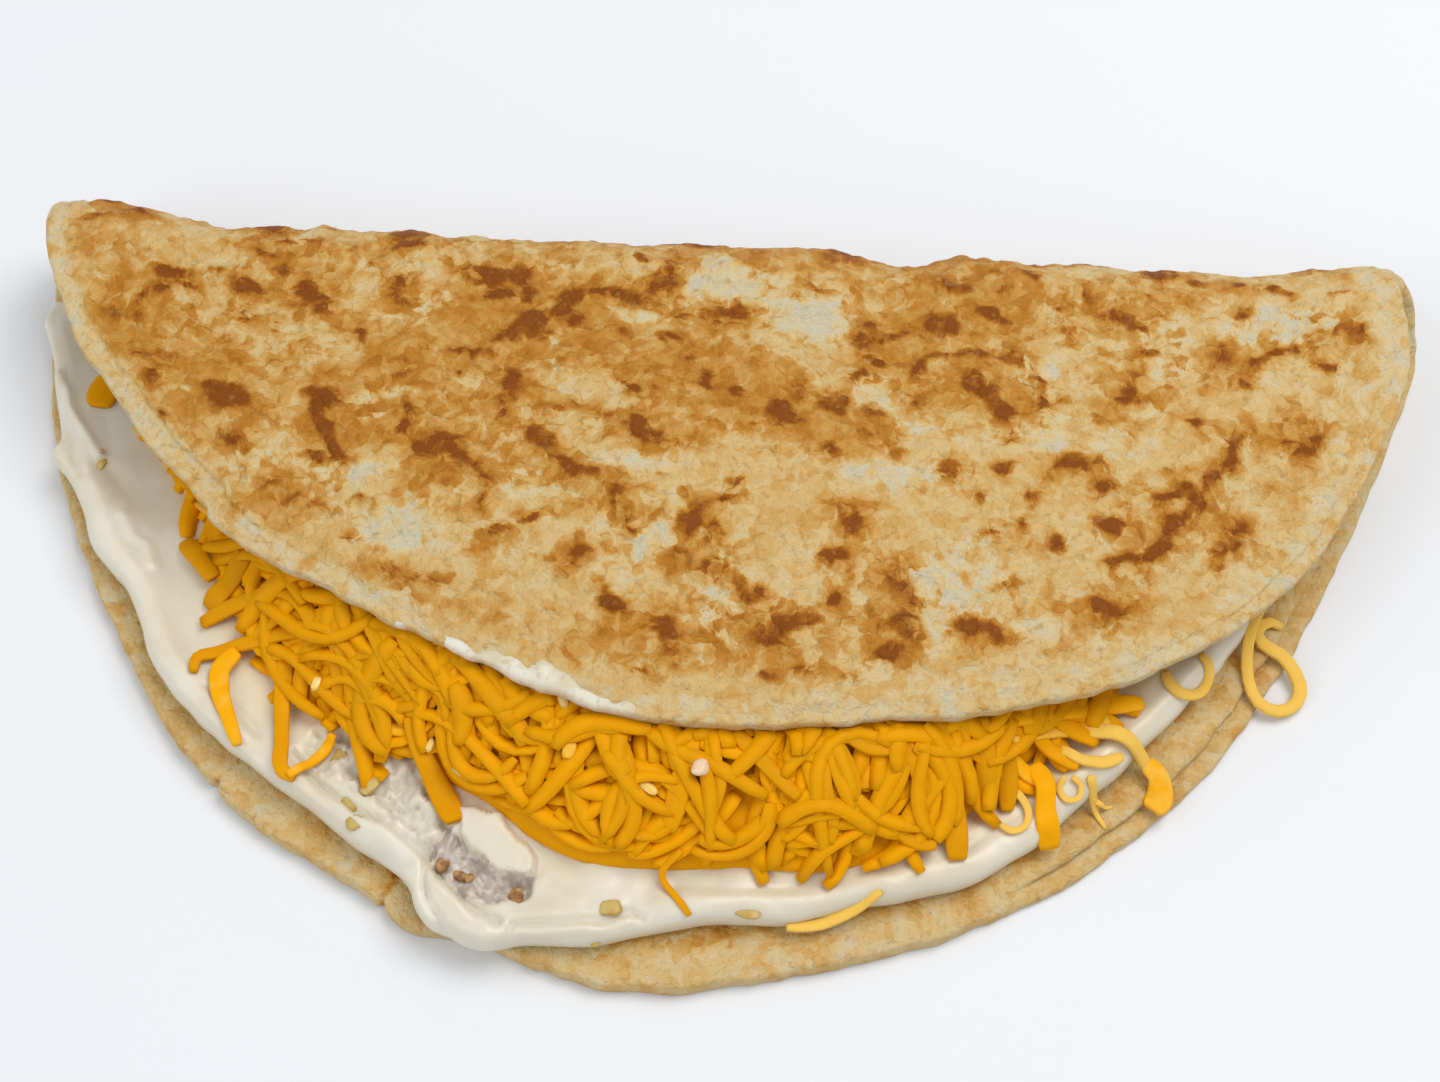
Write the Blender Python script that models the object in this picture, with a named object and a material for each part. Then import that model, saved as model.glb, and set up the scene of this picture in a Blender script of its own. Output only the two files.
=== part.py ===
"""A chapati folded in half over cream cheese and grated cheddar.

Metres, +Z up. The lower half lies flat on z = 0, the fold runs along X at the back (+Y) and the open
side faces -Y. Sizes below are in millimetres, and new_object turns them into metres.

A place on the bread is given on the flat disc: u runs along the fold and v across it, from the lower
half (v below 0) round the fold (0 to FOLD_ARC) to the upper half. A place on the filling is a plan
point (x, y), and its height is found by casting rays at the pieces below and above it.
"""

import math
import random

import bmesh
import bpy
import numpy as np
from mathutils import Vector
from mathutils.bvhtree import BVHTree

MM = 0.001
GAP = 0.4  # clear space between pieces that touch

# Bread: a disc about 210 across and 3.3 thick, folded once.
BREAD_THICK = 3.3
FOLD_RADIUS = 9.8  # to the middle of the sheet
FOLD_ARC = math.pi * FOLD_RADIUS
FOLD_Y = 44.35  # where the lower half starts to turn up
DISC_CENTRE = (1.15, 2.5)  # u, v
# Angle on the flat disc, anticlockwise from +u, and the rim's distance from the centre.
RIM_RADII = (
    (0, 105.6), (10, 105.0), (20, 105.8), (35, 107.3), (52, 106.0), (75, 101.5), (92, 100.5),
    (112, 97.5), (135, 99.5), (155, 103.4), (169, 105.6), (180, 108.0), (190, 106.0), (205, 103.4),
    (220, 103.0),
    (236, 105.2), (255, 106.3), (270, 106.2), (286, 103.8), (304, 101.8), (320, 100.0),
    (335, 98.4), (348, 101.0),
)
RIM_CRACKS = ((229.9, 1.4), (246.6, 1.2))  # angle, depth
CRACK_WIDTH = 1.9  # degrees
RIM_BAND = 6.0  # width of the ring of faces round the rim
RIM_ROUND = ((1.3, 0.50), (0.35, 0.28), (0.0, 0.0), (0.3, -0.28), (1.1, -0.50))  # inset, share of thickness
RIM_PLIES = ((4.7, 0.50), (3.9, 0.30), (3.6, 0.0), (0.4, -0.10), (0.9, -0.50))  # where two plies show
PLIES_FROM, PLIES_TO, PLIES_FADE = 292.0, 352.0, 10.0  # degrees
DOME_RISE = 3.5  # of the upper half over the filling
DOME_REACH = 76.0  # from the fold to the upper half's front
RIGHT_SAG, LEFT_SAG, FRONT_SAG = 7.5, 3.5, 1.5
EAR_REACH = 3.6  # how far the fold's ends flare back
EAR_START, EAR_LENGTH = 72.0, 33.0  # from the disc's centre along u
BLISTERS = 130
FOLD_CRAGS = ((-61.0, 20.5, 5.0, 1.3), (39.0, 20.5, 6.0, 1.4), (-12.0, 18.0, 7.0, 0.7))  # u, v, radius, rise
LOWER_ROWS, FOLD_ROWS, UPPER_ROWS, COLUMNS = 7, 10, 13, 34

# Cream cheese: a layer about 5 thick that comes close to the lower half's rim.
CREAM_CENTRE = (-6.0, 8.0)
CREAM_OUTLINE = (
    (-101.5, 43.3), (-103.0, 39.5), (-96.0, 17.0), (-91.4, 3.5), (-84.7, -6.4), (-76.8, -18.8),
    (-66.9, -28.2), (-56.8, -34.0), (-48.7, -40.8), (-41.3, -45.8), (-37.2, -51.0), (-32.0, -54.9),
    (-25.0, -55.5), (-15.0, -54.6), (-5.0, -52.3), (4.0, -50.7), (15.0, -50.0), (28.0, -46.3),
    (38.0, -43.5), (47.2, -37.8), (56.7, -28.3), (65.2, -19.2), (73.0, -9.6), (80.5, 1.0),
    (88.0, 15.0), (92.5, 32.0), (91.0, 43.3), (45.0, 43.8), (-50.0, 43.8),
)
CREAM_BACK, HEAP_BACK = 44.0, 38.0  # y of the filling's straight back edges, inside the fold
# Inset from the outline and height above the bread: bottom edge, bulging side, bead, hollow, flat top.
CREAM_PROFILE = (
    (1.7, 0.0), (0.2, 1.2), (0.1, 2.5), (1.4, 4.1), (4.0, 4.9), (9.0, 4.5), (17.0, 4.9), (34.0, 4.9),
)
CREAM_SPOKES = 92
CREAM_WAVE = 0.55  # height of the knife's swirls along the bead
TORN_PLACE, TORN_RADIUS, TORN_DEPTH = (-32.5, -43.5), 6.5, 1.7
CHUNK = (
    (-30.0, -37.6), (-24.6, -37.4), (-21.4, -41.6), (-19.4, -44.6), (-20.2, -46.9), (-24.0, -46.2),
    (-30.6, -42.2),
)
CHUNK_BOTTOM, CHUNK_TOP = 6.0, 9.9

# Cheddar: a heap of shreds, solid below and shredded where it shows.
HEAP_CENTRE = (-6.0, 3.0)
HEAP_OUTLINE = (
    (-75.0, 5.5), (-69.5, -8.5), (-61.0, -24.5), (-51.0, -30.0), (-40.0, -28.5), (-33.0, -33.2),
    (-25.5, -34.8), (-18.6, -39.6), (-11.0, -43.0), (5.0, -43.2), (22.0, -42.0), (36.5, -38.6),
    (48.0, -30.5), (58.5, -21.5), (66.0, -9.0), (76.0, 10.0), (80.0, 30.0), (70.0, 37.0),
    (0.0, 38.0), (-70.0, 37.0), (-84.0, 31.0), (-82.0, 18.0),
)
HEAP_PROFILE = ((1.2, 0.0), (0.0, 1.2), (1.8, 3.2), (5.5, 5.2), (11.0, 7.0), (18.0, 8.4), (34.0, 9.0))
OPEN_FRONT = 16  # points of the outline along the open side
HEAP_SPOKES = 54
HEAP_LUMPS = 0.5
SHRED_WIDTH, SHRED_THICK = 2.3, 1.5
SHRED_STEP = 5.2  # between a shred's cross-sections
HEAP_SHREDS = 54
FOOT_REACH = 2.0  # how far a shred may reach past the heap's foot
# Shreds that stand out, in plan: width, then the points that each passes.
MARKED_SHREDS = (
    (3.2, ((-70.0, 7.0), (-74.5, 4.4), (-77.5, 2.0), (-73.5, -2.6), (-66.0, -6.0))),
    (2.6, ((-71.5, -11.5), (-66.4, -9.9), (-60.0, -7.5), (-55.5, -9.6), (-53.5, -17.0))),
    (2.4, ((-71.0, -20.4), (-69.9, -17.2), (-64.8, -14.6), (-55.6, -13.6))),
    (2.8, ((-62.5, -14.0), (-66.5, -20.5), (-65.0, -26.7), (-62.5, -31.0))),
    (2.6, ((-57.5, -16.0), (-57.3, -25.0), (-56.6, -34.6), (-53.0, -34.6), (-50.0, -26.9))),
    (1.4, ((0.5, -40.5), (-1.6, -45.0), (2.4, -51.0))),
    (3.2, ((33.2, -25.0), (36.3, -33.0), (38.5, -42.0))),
    (2.4, ((43.0, -24.0), (48.0, -27.0), (50.4, -36.0))),
    (1.6, ((41.5, -30.0), (46.0, -31.4), (46.6, -35.4), (42.4, -36.0))),
    (2.5, ((55.0, -18.5), (61.6, -21.4), (66.2, -25.4), (64.3, -29.6))),
    (2.0, ((53.5, -19.5), (56.6, -26.4), (58.2, -32.6))),
    (1.9, ((62.0, -5.0), (67.0, -10.0), (70.4, -13.3), (73.0, -10.4), (73.4, -4.0))),
    (2.0, (
        (74.0, 8.0), (81.0, 3.0), (85.0, -1.5), (88.2, -7.0), (83.8, -11.8), (80.0, -7.4),
        (79.4, 0.5), (75.0, 9.0),
    )),
    (3.0, ((-80.0, 22.0), (-87.5, 24.5), (-94.5, 29.0))),
)
# A shred pressed into the cream's edge.
STUCK_SHRED = (2.1, ((14.0, -50.6), (20.0, -49.6), (25.3, -47.2), (29.6, -44.6)))
SINK = 0.5  # how far a shred sinks into what it is fused to
SLIVER = 0.004  # edges shorter than this are closed up after a union
FINE_STEPS = 600  # in which a smooth line is drawn before it is divided
AROUND = ((0, 0), (1, 0), (-1, 0), (0, 1), (0, -1))  # where heights are read round a point
UNDER_HEAP = 10.2  # a height over the cream and under the upper half
OVER_ALL = 40.0

BREAD_COLOUR, BREAD_ROUGHNESS = (0.74, 0.56, 0.31, 1.0), 0.75
CREAM_COLOUR, CREAM_ROUGHNESS = (0.91, 0.87, 0.77, 1.0), 0.35
CHEDDAR_COLOUR, CHEDDAR_ROUGHNESS = (0.82, 0.37, 0.02, 1.0), 0.45


# Curves and meshes

def ramp(value, start, end):
    """0 up to start, 1 from end on, and a smooth step between them."""
    share = np.clip((value - start) / (end - start), 0.0, 1.0)
    return share * share * (3.0 - 2.0 * share)


def smooth_through(places, values, at):
    """Values at these places on a smooth curve through the given ones."""
    slopes = np.gradient(values, places, axis=0)
    first = np.clip(np.searchsorted(places, at, side="right") - 1, 0, len(places) - 2)
    step = places[first + 1] - places[first]
    share = (at - places[first]) / step
    if values.ndim > 1:
        step, share = step[:, None], share[:, None]
    return (
        (1 + 2 * share) * (1 - share) ** 2 * values[first]
        + share * (1 - share) ** 2 * step * slopes[first]
        + share**2 * (3 - 2 * share) * values[first + 1]
        + share**2 * (share - 1) * step * slopes[first + 1]
    )


def evenly(fine, count):
    """This many evenly spaced points along a finely drawn line, its ends included."""
    run = np.concatenate([[0], np.cumsum(np.linalg.norm(np.diff(fine, axis=0), axis=1))])
    wanted = np.linspace(0, run[-1], count)
    return np.column_stack([np.interp(wanted, run, fine[:, axis]) for axis in range(fine.shape[1])])


def smooth_line(knots, step):
    """Points about this far apart on a smooth line through the knots."""
    knots = np.array(knots, float)
    lengths = np.concatenate([[0], np.cumsum(np.linalg.norm(np.diff(knots, axis=0), axis=1))])
    fine = smooth_through(lengths, knots, np.linspace(0, lengths[-1], FINE_STEPS))
    return evenly(fine, max(3, round(lengths[-1] / step) + 1))


def smooth_ring(knots, count):
    """This many evenly spaced points on a smooth closed line through the knots."""
    wrapped = np.array(knots[-2:] + knots + knots[:2], float)
    lengths = np.concatenate([[0], np.cumsum(np.linalg.norm(np.diff(wrapped, axis=0), axis=1))])
    fine = smooth_through(lengths, wrapped, np.linspace(lengths[2], lengths[-2], FINE_STEPS))
    return evenly(fine, count + 1)[:-1]


def new_object(name, points, faces, colour=None, roughness=0.5):
    """A mesh object of millimetre points, with its normals facing out."""
    mesh = bpy.data.meshes.new(name)
    mesh.from_pydata([tuple(point * MM) for point in points], [], faces)
    shape = bmesh.new()
    shape.from_mesh(mesh)
    bmesh.ops.recalc_face_normals(shape, faces=shape.faces)
    shape.to_mesh(mesh)
    shape.free()
    made = bpy.data.objects.new(name, mesh)
    bpy.context.scene.collection.objects.link(made)
    if colour:
        give_material(made, colour, roughness)
    return made


def give_material(made, colour, roughness):
    material = bpy.data.materials.new(made.name)
    material.use_nodes = True
    shader = material.node_tree.nodes["Principled BSDF"]
    shader.inputs["Base Color"].default_value = colour
    shader.inputs["Roughness"].default_value = roughness
    shader.inputs["Metallic"].default_value = 0.0
    made.data.materials.append(material)


def fuse(body, pieces):
    """Joins the pieces onto the body by one union, and keeps the one large body that results."""
    others = bpy.data.collections.new("fused")
    bpy.context.scene.collection.children.link(others)
    for piece in pieces:
        bpy.context.scene.collection.objects.unlink(piece)
        others.objects.link(piece)
    union = body.modifiers.new("fuse", "BOOLEAN")
    union.operation = "UNION"
    union.operand_type = "COLLECTION"
    union.collection = others
    union.solver = "MANIFOLD"
    with bpy.context.temp_override(object=body, active_object=body, selected_objects=[body]):
        bpy.ops.object.modifier_apply(modifier=union.name)
    for piece in pieces:
        bpy.data.objects.remove(piece)
    bpy.data.collections.remove(others)
    keep_largest_body(body)


def keep_largest_body(made):
    """Drops loose scraps, and the inner shells of hollows that fusing sealed."""
    shape = bmesh.new()
    shape.from_mesh(made.data)
    bmesh.ops.dissolve_degenerate(shape, dist=SLIVER * MM, edges=shape.edges)
    bmesh.ops.triangulate(shape, faces=shape.faces)
    unseen = set(shape.faces)
    bodies = []
    while unseen:
        body, edge_faces = set(), [unseen.pop()]
        while edge_faces:
            face = edge_faces.pop()
            body.add(face)
            near = {other for edge in face.edges for other in edge.link_faces} & unseen
            unseen -= near
            edge_faces.extend(near)
        bodies.append(body)
    largest = max(bodies, key=len)
    dropped = [face for body in bodies if body is not largest for face in body]
    bmesh.ops.delete(shape, geom=dropped, context="FACES")
    loose = [vertex for vertex in shape.verts if not vertex.link_faces]
    bmesh.ops.delete(shape, geom=loose, context="VERTS")
    shape.to_mesh(made.data)
    shape.free()


def tree_of(made):
    """A ray-casting tree of the object, in millimetres."""
    points = [vertex.co / MM for vertex in made.data.vertices]
    return BVHTree.FromPolygons(points, [tuple(face.vertices) for face in made.data.polygons])


# Bread

def rim_radius(degrees):
    angles, radii = np.array(RIM_RADII, float).T
    angles = np.concatenate([angles - 360, angles, angles + 360])
    radius = smooth_through(angles, np.tile(radii, 3), np.mod(degrees, 360.0))
    for angle, depth in RIM_CRACKS:
        radius = radius - depth * np.exp(-(((np.mod(degrees, 360.0) - angle) / CRACK_WIDTH) ** 2))
    return radius


def upper_rise(u, run):
    """Height of the upper half over the fold's top, this far from where the fold ends."""
    share = np.clip(run / DOME_REACH, 0.0, 1.0)
    dome = DOME_RISE * np.sin(math.pi * share) ** 2 * (1.0 - (u / 120.0) ** 2)
    right = RIGHT_SAG * ramp(u, 28.0, 103.0) * ramp(run, 0.0, 45.0)
    left = LEFT_SAG * ramp(-u, 7.0, 92.0) * ramp(run, 0.0, 50.0)
    ripple = 0.5 * np.sin(u / 11.0 + run / 17.0) * np.sin(run / 13.0) * ramp(run, 0.0, 20.0)
    return dome - right - left - FRONT_SAG * share**3 + ripple


def middle_of_sheet(u, v):
    turn = np.clip(v, 0.0, FOLD_ARC) / FOLD_RADIUS
    run = np.maximum(v - FOLD_ARC, 0.0)
    y = FOLD_Y + np.minimum(v, 0.0) + FOLD_RADIUS * np.sin(turn) - run
    z = BREAD_THICK / 2 + FOLD_RADIUS * (1.0 - np.cos(turn)) + upper_rise(u, run)
    ear = EAR_REACH * np.clip((np.abs(u - DISC_CENTRE[0]) - EAR_START) / EAR_LENGTH, 0.0, 1.2) ** 1.5
    y = y + ear * ramp(v, -25.0, 5.0) * (1.0 - ramp(v, FOLD_ARC + 5.0, FOLD_ARC + 30.0))
    return np.stack([u, y, z], axis=-1)


def on_sheet(u, v, height):
    """The point this high over the middle of the sheet, on its inner side."""
    small = 0.02
    here = middle_of_sheet(u, v)
    along = middle_of_sheet(u + small, v) - here
    across = middle_of_sheet(u, v + small) - here
    normal = np.cross(along, across)
    normal /= np.linalg.norm(normal, axis=-1, keepdims=True)
    return here + normal * np.asarray(height)[..., None]


def blisters():
    """u, v, radius and rise of the blisters on the outside of the fold and the upper half."""
    chance = random.Random(11)
    found = list(FOLD_CRAGS)
    while len(found) < BLISTERS:
        u, v = chance.uniform(-100, 100), chance.uniform(8, 100)
        if math.hypot(u - DISC_CENTRE[0], v - DISC_CENTRE[1]) < 96:
            found.append((u, v, chance.uniform(3.0, 8.0), chance.uniform(-0.35, 0.6)))
    return found


def outer_relief(u, v, places):
    rise = np.zeros_like(u)
    for at_u, at_v, radius, height in places:
        rise += height * np.exp(-((u - at_u) ** 2 + (v - at_v) ** 2) / radius**2)
    return np.clip(rise, -0.6, 1.6) * ramp(v, 3.0, 10.0)


def make_bread():
    lower = np.linspace(-1.0, -0.05, LOWER_ROWS, endpoint=False)
    fold = np.linspace(-0.05, 0.40, FOLD_ROWS, endpoint=False)
    upper = np.linspace(0.40, 1.0, UPPER_ROWS + 1)
    rows = np.concatenate([lower, fold, upper])
    columns = np.linspace(-1.0, 1.0, COLUMNS + 1)
    a, b = np.meshgrid(columns, rows)
    disc_u, disc_v = a * np.sqrt(1 - b * b / 2), b * np.sqrt(1 - a * a / 2)
    angle = np.degrees(np.arctan2(disc_v, disc_u))
    reach = rim_radius(angle) - RIM_BAND
    u = (DISC_CENTRE[0] + reach * disc_u).ravel()
    v = (DISC_CENTRE[1] + reach * disc_v).ravel()

    places = blisters()
    half = BREAD_THICK / 2
    inner = on_sheet(u, v, np.full(u.shape, half))
    outer = on_sheet(u, v, -half - outer_relief(u, v, places))

    high, wide = a.shape
    index = np.arange(high * wide).reshape(high, wide)
    ring = np.concatenate([index[0, :-1], index[:-1, -1], index[-1, :0:-1], index[:0:-1, 0]])
    ring_angle = angle.ravel()[ring]
    plies = ramp(np.mod(ring_angle, 360.0), PLIES_FROM, PLIES_FROM + PLIES_FADE)
    plies *= 1.0 - ramp(np.mod(ring_angle, 360.0), PLIES_TO - PLIES_FADE, PLIES_TO)
    loops = []
    for step, (round_edge, ply_edge) in enumerate(zip(RIM_ROUND, RIM_PLIES)):
        inset = round_edge[0] + plies * (ply_edge[0] - round_edge[0])
        height = BREAD_THICK * (round_edge[1] + plies * (ply_edge[1] - round_edge[1]))
        radius = rim_radius(ring_angle) - inset
        rim_u = DISC_CENTRE[0] + radius * np.cos(np.radians(ring_angle))
        rim_v = DISC_CENTRE[1] + radius * np.sin(np.radians(ring_angle))
        if step == len(RIM_ROUND) - 1:
            height = height - outer_relief(rim_u, rim_v, places)
        loops.append(on_sheet(rim_u, rim_v, height))

    grid = [
        (index[r, c], index[r, c + 1], index[r + 1, c + 1], index[r + 1, c])
        for r in range(high - 1)
        for c in range(wide - 1)
    ]
    below = high * wide
    first_loop = 2 * below
    loop_rings = [first_loop + k * len(ring) + np.arange(len(ring)) for k in range(len(loops))]
    strips = [ring] + loop_rings + [ring + below]
    faces = grid + [tuple(corner + below for corner in reversed(face)) for face in grid]
    for one, other in zip(strips, strips[1:]):
        for k in range(len(ring)):
            after = (k + 1) % len(ring)
            faces.append((one[k], other[k], other[after], one[after]))
    points = np.vstack([inner, outer] + loops)
    faces = [tuple(int(corner) for corner in face) for face in faces]
    return new_object("chapati", points, faces, BREAD_COLOUR, BREAD_ROUGHNESS)


# Filling

def make_mound(name, outline, back, centre, spokes, profile, base, top, colour, roughness):
    """A closed mound on a flat bottom: rings inset from its outline, up the profile to the middle."""
    edge = smooth_ring(outline, spokes)
    edge[:, 1] = np.minimum(edge[:, 1], back)
    middle = np.array(centre)
    inward = middle - edge
    distance = np.linalg.norm(inward, axis=1, keepdims=True)
    inward = inward / distance
    rings = []
    for inset, height in profile:
        plan = edge + inward * np.minimum(inset, distance * 0.8)
        level = np.full(spokes, base + height)
        if height > 0:
            level = top(plan, level)
        rings.append(np.column_stack([plan, level]))
    peak = top(middle[None, :], np.array([base + profile[-1][1]]))
    points = np.vstack(rings + [[[*centre, base]], [[*centre, peak[0]]]])
    low, high = len(points) - 2, len(points) - 1
    faces = []
    for k in range(spokes):
        after = (k + 1) % spokes
        faces.append((after, k, low))
        for ring in range(len(rings) - 1):
            start, above = ring * spokes, (ring + 1) * spokes
            faces.append((start + k, start + after, above + after, above + k))
        last = (len(rings) - 1) * spokes
        faces.append((last + k, last + after, high))
    return new_object(name, points, faces, colour, roughness)


def make_prism(name, outline, bottom, top):
    """A lump with this outline, its upper edge drawn in a little."""
    plan = np.array(outline)
    middle = plan.mean(axis=0)
    rings = [(0.0, bottom), (0.0, top - 0.9), (0.14, top)]
    points = [[*(at + share * (middle - at)), z] for share, z in rings for at in plan]
    count = len(plan)
    faces = [tuple(reversed(range(count))), tuple(range(2 * count, 3 * count))]
    for ring in (0, count):
        for k in range(count):
            after = (k + 1) % count
            faces.append((ring + k, ring + after, ring + count + after, ring + count + k))
    return new_object(name, np.array(points), faces)


def cream_top(plan, level):
    x, y = plan[:, 0], plan[:, 1]
    front = ramp(-(y + 0.25 * np.abs(x)), 0.0, 14.0)
    wave = CREAM_WAVE * (np.sin(x / 5.2 + y / 9.0) + 0.6 * np.sin(x / 2.9 - y / 4.0)) * front * (level > 7.3)
    torn = np.exp(-((x - TORN_PLACE[0]) ** 2 + (y - TORN_PLACE[1]) ** 2) / TORN_RADIUS**2)
    flat_from = BREAD_THICK + GAP + CREAM_PROFILE[-1][1]
    return np.minimum(level + wave, flat_from) - TORN_DEPTH * torn * (level > 6.0)


def make_cream():
    base = BREAD_THICK + GAP
    cream = make_mound(
        "cream_cheese", CREAM_OUTLINE, CREAM_BACK, CREAM_CENTRE, CREAM_SPOKES, CREAM_PROFILE,
        base, cream_top, CREAM_COLOUR, CREAM_ROUGHNESS,
    )
    surface = tree_of(cream)
    width, points = STUCK_SHRED
    line = smooth_line(points, SHRED_STEP)
    hits = [surface.ray_cast(Vector((x, y, OVER_ALL)), Vector((0, 0, -1)))[0] for x, y in line]
    heights = [hit.z if hit else base + CREAM_PROFILE[2][1] for hit in hits]
    line = np.column_stack([line, np.array(heights) + SHRED_THICK / 2 - SINK])
    stuck = make_strip("stuck", line, width, SHRED_THICK)
    fuse(cream, [make_prism("chunk", CHUNK, CHUNK_BOTTOM, CHUNK_TOP), stuck])
    return cream


def make_strip(name, line, width, thick):
    """A shred: a four-sided strip that follows the line and lies flat."""
    along = np.gradient(line, axis=0)
    along /= np.linalg.norm(along, axis=1, keepdims=True)
    side = np.cross(along, (0.0, 0.0, 1.0))
    side /= np.linalg.norm(side, axis=1, keepdims=True)
    up = np.cross(side, along)
    corners = ((-1, -1), (1, -1), (1, 1), (-1, 1))
    points = np.stack([line + side * width / 2 * s + up * thick / 2 * h for s, h in corners], axis=1)
    count = len(line)
    faces = [(3, 2, 1, 0), tuple(4 * (count - 1) + k for k in range(4))]
    for k in range(count - 1):
        for corner in range(4):
            after = (corner + 1) % 4
            faces.append((4 * k + corner, 4 * k + after, 4 * k + 4 + after, 4 * k + 4 + corner))
    return new_object(name, points.reshape(-1, 3), faces)


class Heap:
    """Finds how high a shred may lie: over the cream and the bread, under the upper half."""

    def __init__(self, bread, cream):
        self.bread, self.cream, self.core = tree_of(bread), tree_of(cream), None

    def floor(self, x, y, width):
        """Highest point of cream and lower bread within the shred's width, at least level with the bread."""
        found = BREAD_THICK
        for dx, dy in AROUND + ((0.7, 0.7), (-0.7, 0.7), (0.7, -0.7), (-0.7, -0.7)):
            at = Vector((x + dx * width * 0.7, y + dy * width * 0.7, UNDER_HEAP))
            for tree in (self.cream, self.bread):
                hit = tree.ray_cast(at, Vector((0, 0, -1)))[0]
                found = max(found, hit.z if hit else 0.0)
        return found

    def ceiling(self, x, y, width):
        """Lowest point of the upper half within the shred's width, or a height over it where it isn't."""
        found = OVER_ALL
        for dx, dy in AROUND:
            at = Vector((x + dx * width, y + dy * width, UNDER_HEAP))
            hit = self.bread.ray_cast(at, Vector((0, 0, 1)))[0]
            found = min(found, hit.z if hit else OVER_ALL)
        return found

    def lay(self, plan, width, thick, lifts):
        """The shred's line at its height: on the core, or on what lies beside it."""
        low, high = [], []
        for x, y in plan:
            low.append(self.floor(x, y, width) + GAP + thick / 2 + 0.1)
            high.append(self.ceiling(x, y, width) - GAP - thick / 2 - 0.2)
        hits = [self.core.ray_cast(Vector((x, y, OVER_ALL)), Vector((0, 0, -1)))[0] for x, y in plan]
        wanted = [hit.z + thick / 2 - SINK + lift if hit else 0.0 for hit, lift in zip(hits, lifts)]
        level = np.maximum(wanted, low)
        for _ in range(2):
            level[1:-1] = np.maximum(level[1:-1], (level[:-2] + level[2:]) / 2)
        return np.column_stack([plan, np.clip(level, low, np.maximum(high, low))])


def make_cheddar(bread, cream):
    heap = Heap(bread, cream)
    base = BREAD_THICK + GAP + CREAM_PROFILE[-1][1] + GAP

    def core_top(plan, level):
        x, y = plan[:, 0], plan[:, 1]
        lumps = HEAP_LUMPS * np.sin(x / 2.7 + 1.3 * np.sin(y / 3.1)) * np.sin(y / 2.3) * (level > base + 2)
        ceiling = np.array([heap.ceiling(px, py, 3.0) for px, py in plan])
        return np.minimum(level + lumps, ceiling - GAP - 0.5)

    core = make_mound(
        "grated_cheddar", HEAP_OUTLINE, HEAP_BACK, HEAP_CENTRE, HEAP_SPOKES, HEAP_PROFILE,
        base, core_top, CHEDDAR_COLOUR, CHEDDAR_ROUGHNESS,
    )
    heap.core = tree_of(core)
    shreds = []
    for width, points in MARKED_SHREDS:
        plan = smooth_line(points, SHRED_STEP * 0.8)
        line = heap.lay(plan, width, SHRED_THICK, np.zeros(len(plan)))
        shreds.append(make_strip("shred", line, width, SHRED_THICK))

    # The rest lie round the heap's open front, in rows from its foot to under the bread.
    chance = random.Random(5)
    front = smooth_line(HEAP_OUTLINE[:OPEN_FRONT], 1.0)
    inward = np.array(HEAP_CENTRE) - front
    inward /= np.linalg.norm(inward, axis=1, keepdims=True)
    for number in range(HEAP_SHREDS):
        at = int((number + chance.uniform(0.1, 0.9)) / HEAP_SHREDS * len(front))
        depth = (2.5, 9.0, 15.5)[number % 3] + chance.uniform(-2.0, 2.0)
        middle = front[at] + inward[at] * depth
        heading = chance.uniform(0, math.pi)
        bend = chance.uniform(-0.07, 0.07)
        length = chance.uniform(12.0, 22.0)
        steps = np.linspace(-length / 2, length / 2, max(4, round(length / SHRED_STEP) + 1))
        turn = heading + bend * steps
        plan = np.cumsum(np.column_stack([np.cos(turn), np.sin(turn)]) * (steps[1] - steps[0]), axis=0)
        plan += middle - plan.mean(axis=0)
        plan += inward[at] * max(0.0, np.max((front[at] - plan) @ inward[at]) - FOOT_REACH)
        width = SHRED_WIDTH * chance.uniform(0.8, 1.25)
        lifts = chance.uniform(0.2, 1.3) * np.cos(steps / length * 2.6)
        line = heap.lay(plan, width, SHRED_THICK, lifts)
        shreds.append(make_strip("shred", line, width, SHRED_THICK))
    fuse(core, shreds)
    return core


def main():
    for old in list(bpy.data.objects):
        bpy.data.objects.remove(old)
    bread = make_bread()
    cream = make_cream()
    make_cheddar(bread, cream)


main()
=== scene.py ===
import math
import random

import bmesh
import bpy
import numpy as np
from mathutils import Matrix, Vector
from mathutils.bvhtree import BVHTree


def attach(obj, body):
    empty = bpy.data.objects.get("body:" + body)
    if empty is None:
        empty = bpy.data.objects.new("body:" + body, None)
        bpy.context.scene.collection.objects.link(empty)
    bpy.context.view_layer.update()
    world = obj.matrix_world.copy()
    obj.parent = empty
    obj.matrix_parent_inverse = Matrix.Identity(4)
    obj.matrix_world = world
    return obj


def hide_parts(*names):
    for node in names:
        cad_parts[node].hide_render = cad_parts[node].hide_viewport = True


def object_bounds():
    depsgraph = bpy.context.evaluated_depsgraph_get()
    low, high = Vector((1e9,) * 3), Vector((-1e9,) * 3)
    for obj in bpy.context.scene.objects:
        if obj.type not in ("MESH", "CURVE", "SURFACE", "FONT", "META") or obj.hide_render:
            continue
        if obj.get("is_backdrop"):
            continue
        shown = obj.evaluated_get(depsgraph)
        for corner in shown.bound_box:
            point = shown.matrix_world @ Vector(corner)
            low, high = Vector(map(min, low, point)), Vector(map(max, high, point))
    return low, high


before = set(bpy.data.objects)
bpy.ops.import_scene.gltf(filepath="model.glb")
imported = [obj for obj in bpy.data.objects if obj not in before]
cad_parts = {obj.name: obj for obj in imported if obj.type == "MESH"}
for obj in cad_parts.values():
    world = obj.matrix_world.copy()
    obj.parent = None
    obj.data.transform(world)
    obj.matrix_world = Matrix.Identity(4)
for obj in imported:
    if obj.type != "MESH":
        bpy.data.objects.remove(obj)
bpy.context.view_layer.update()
bpy.ops.object.select_all(action="DESELECT")
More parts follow.
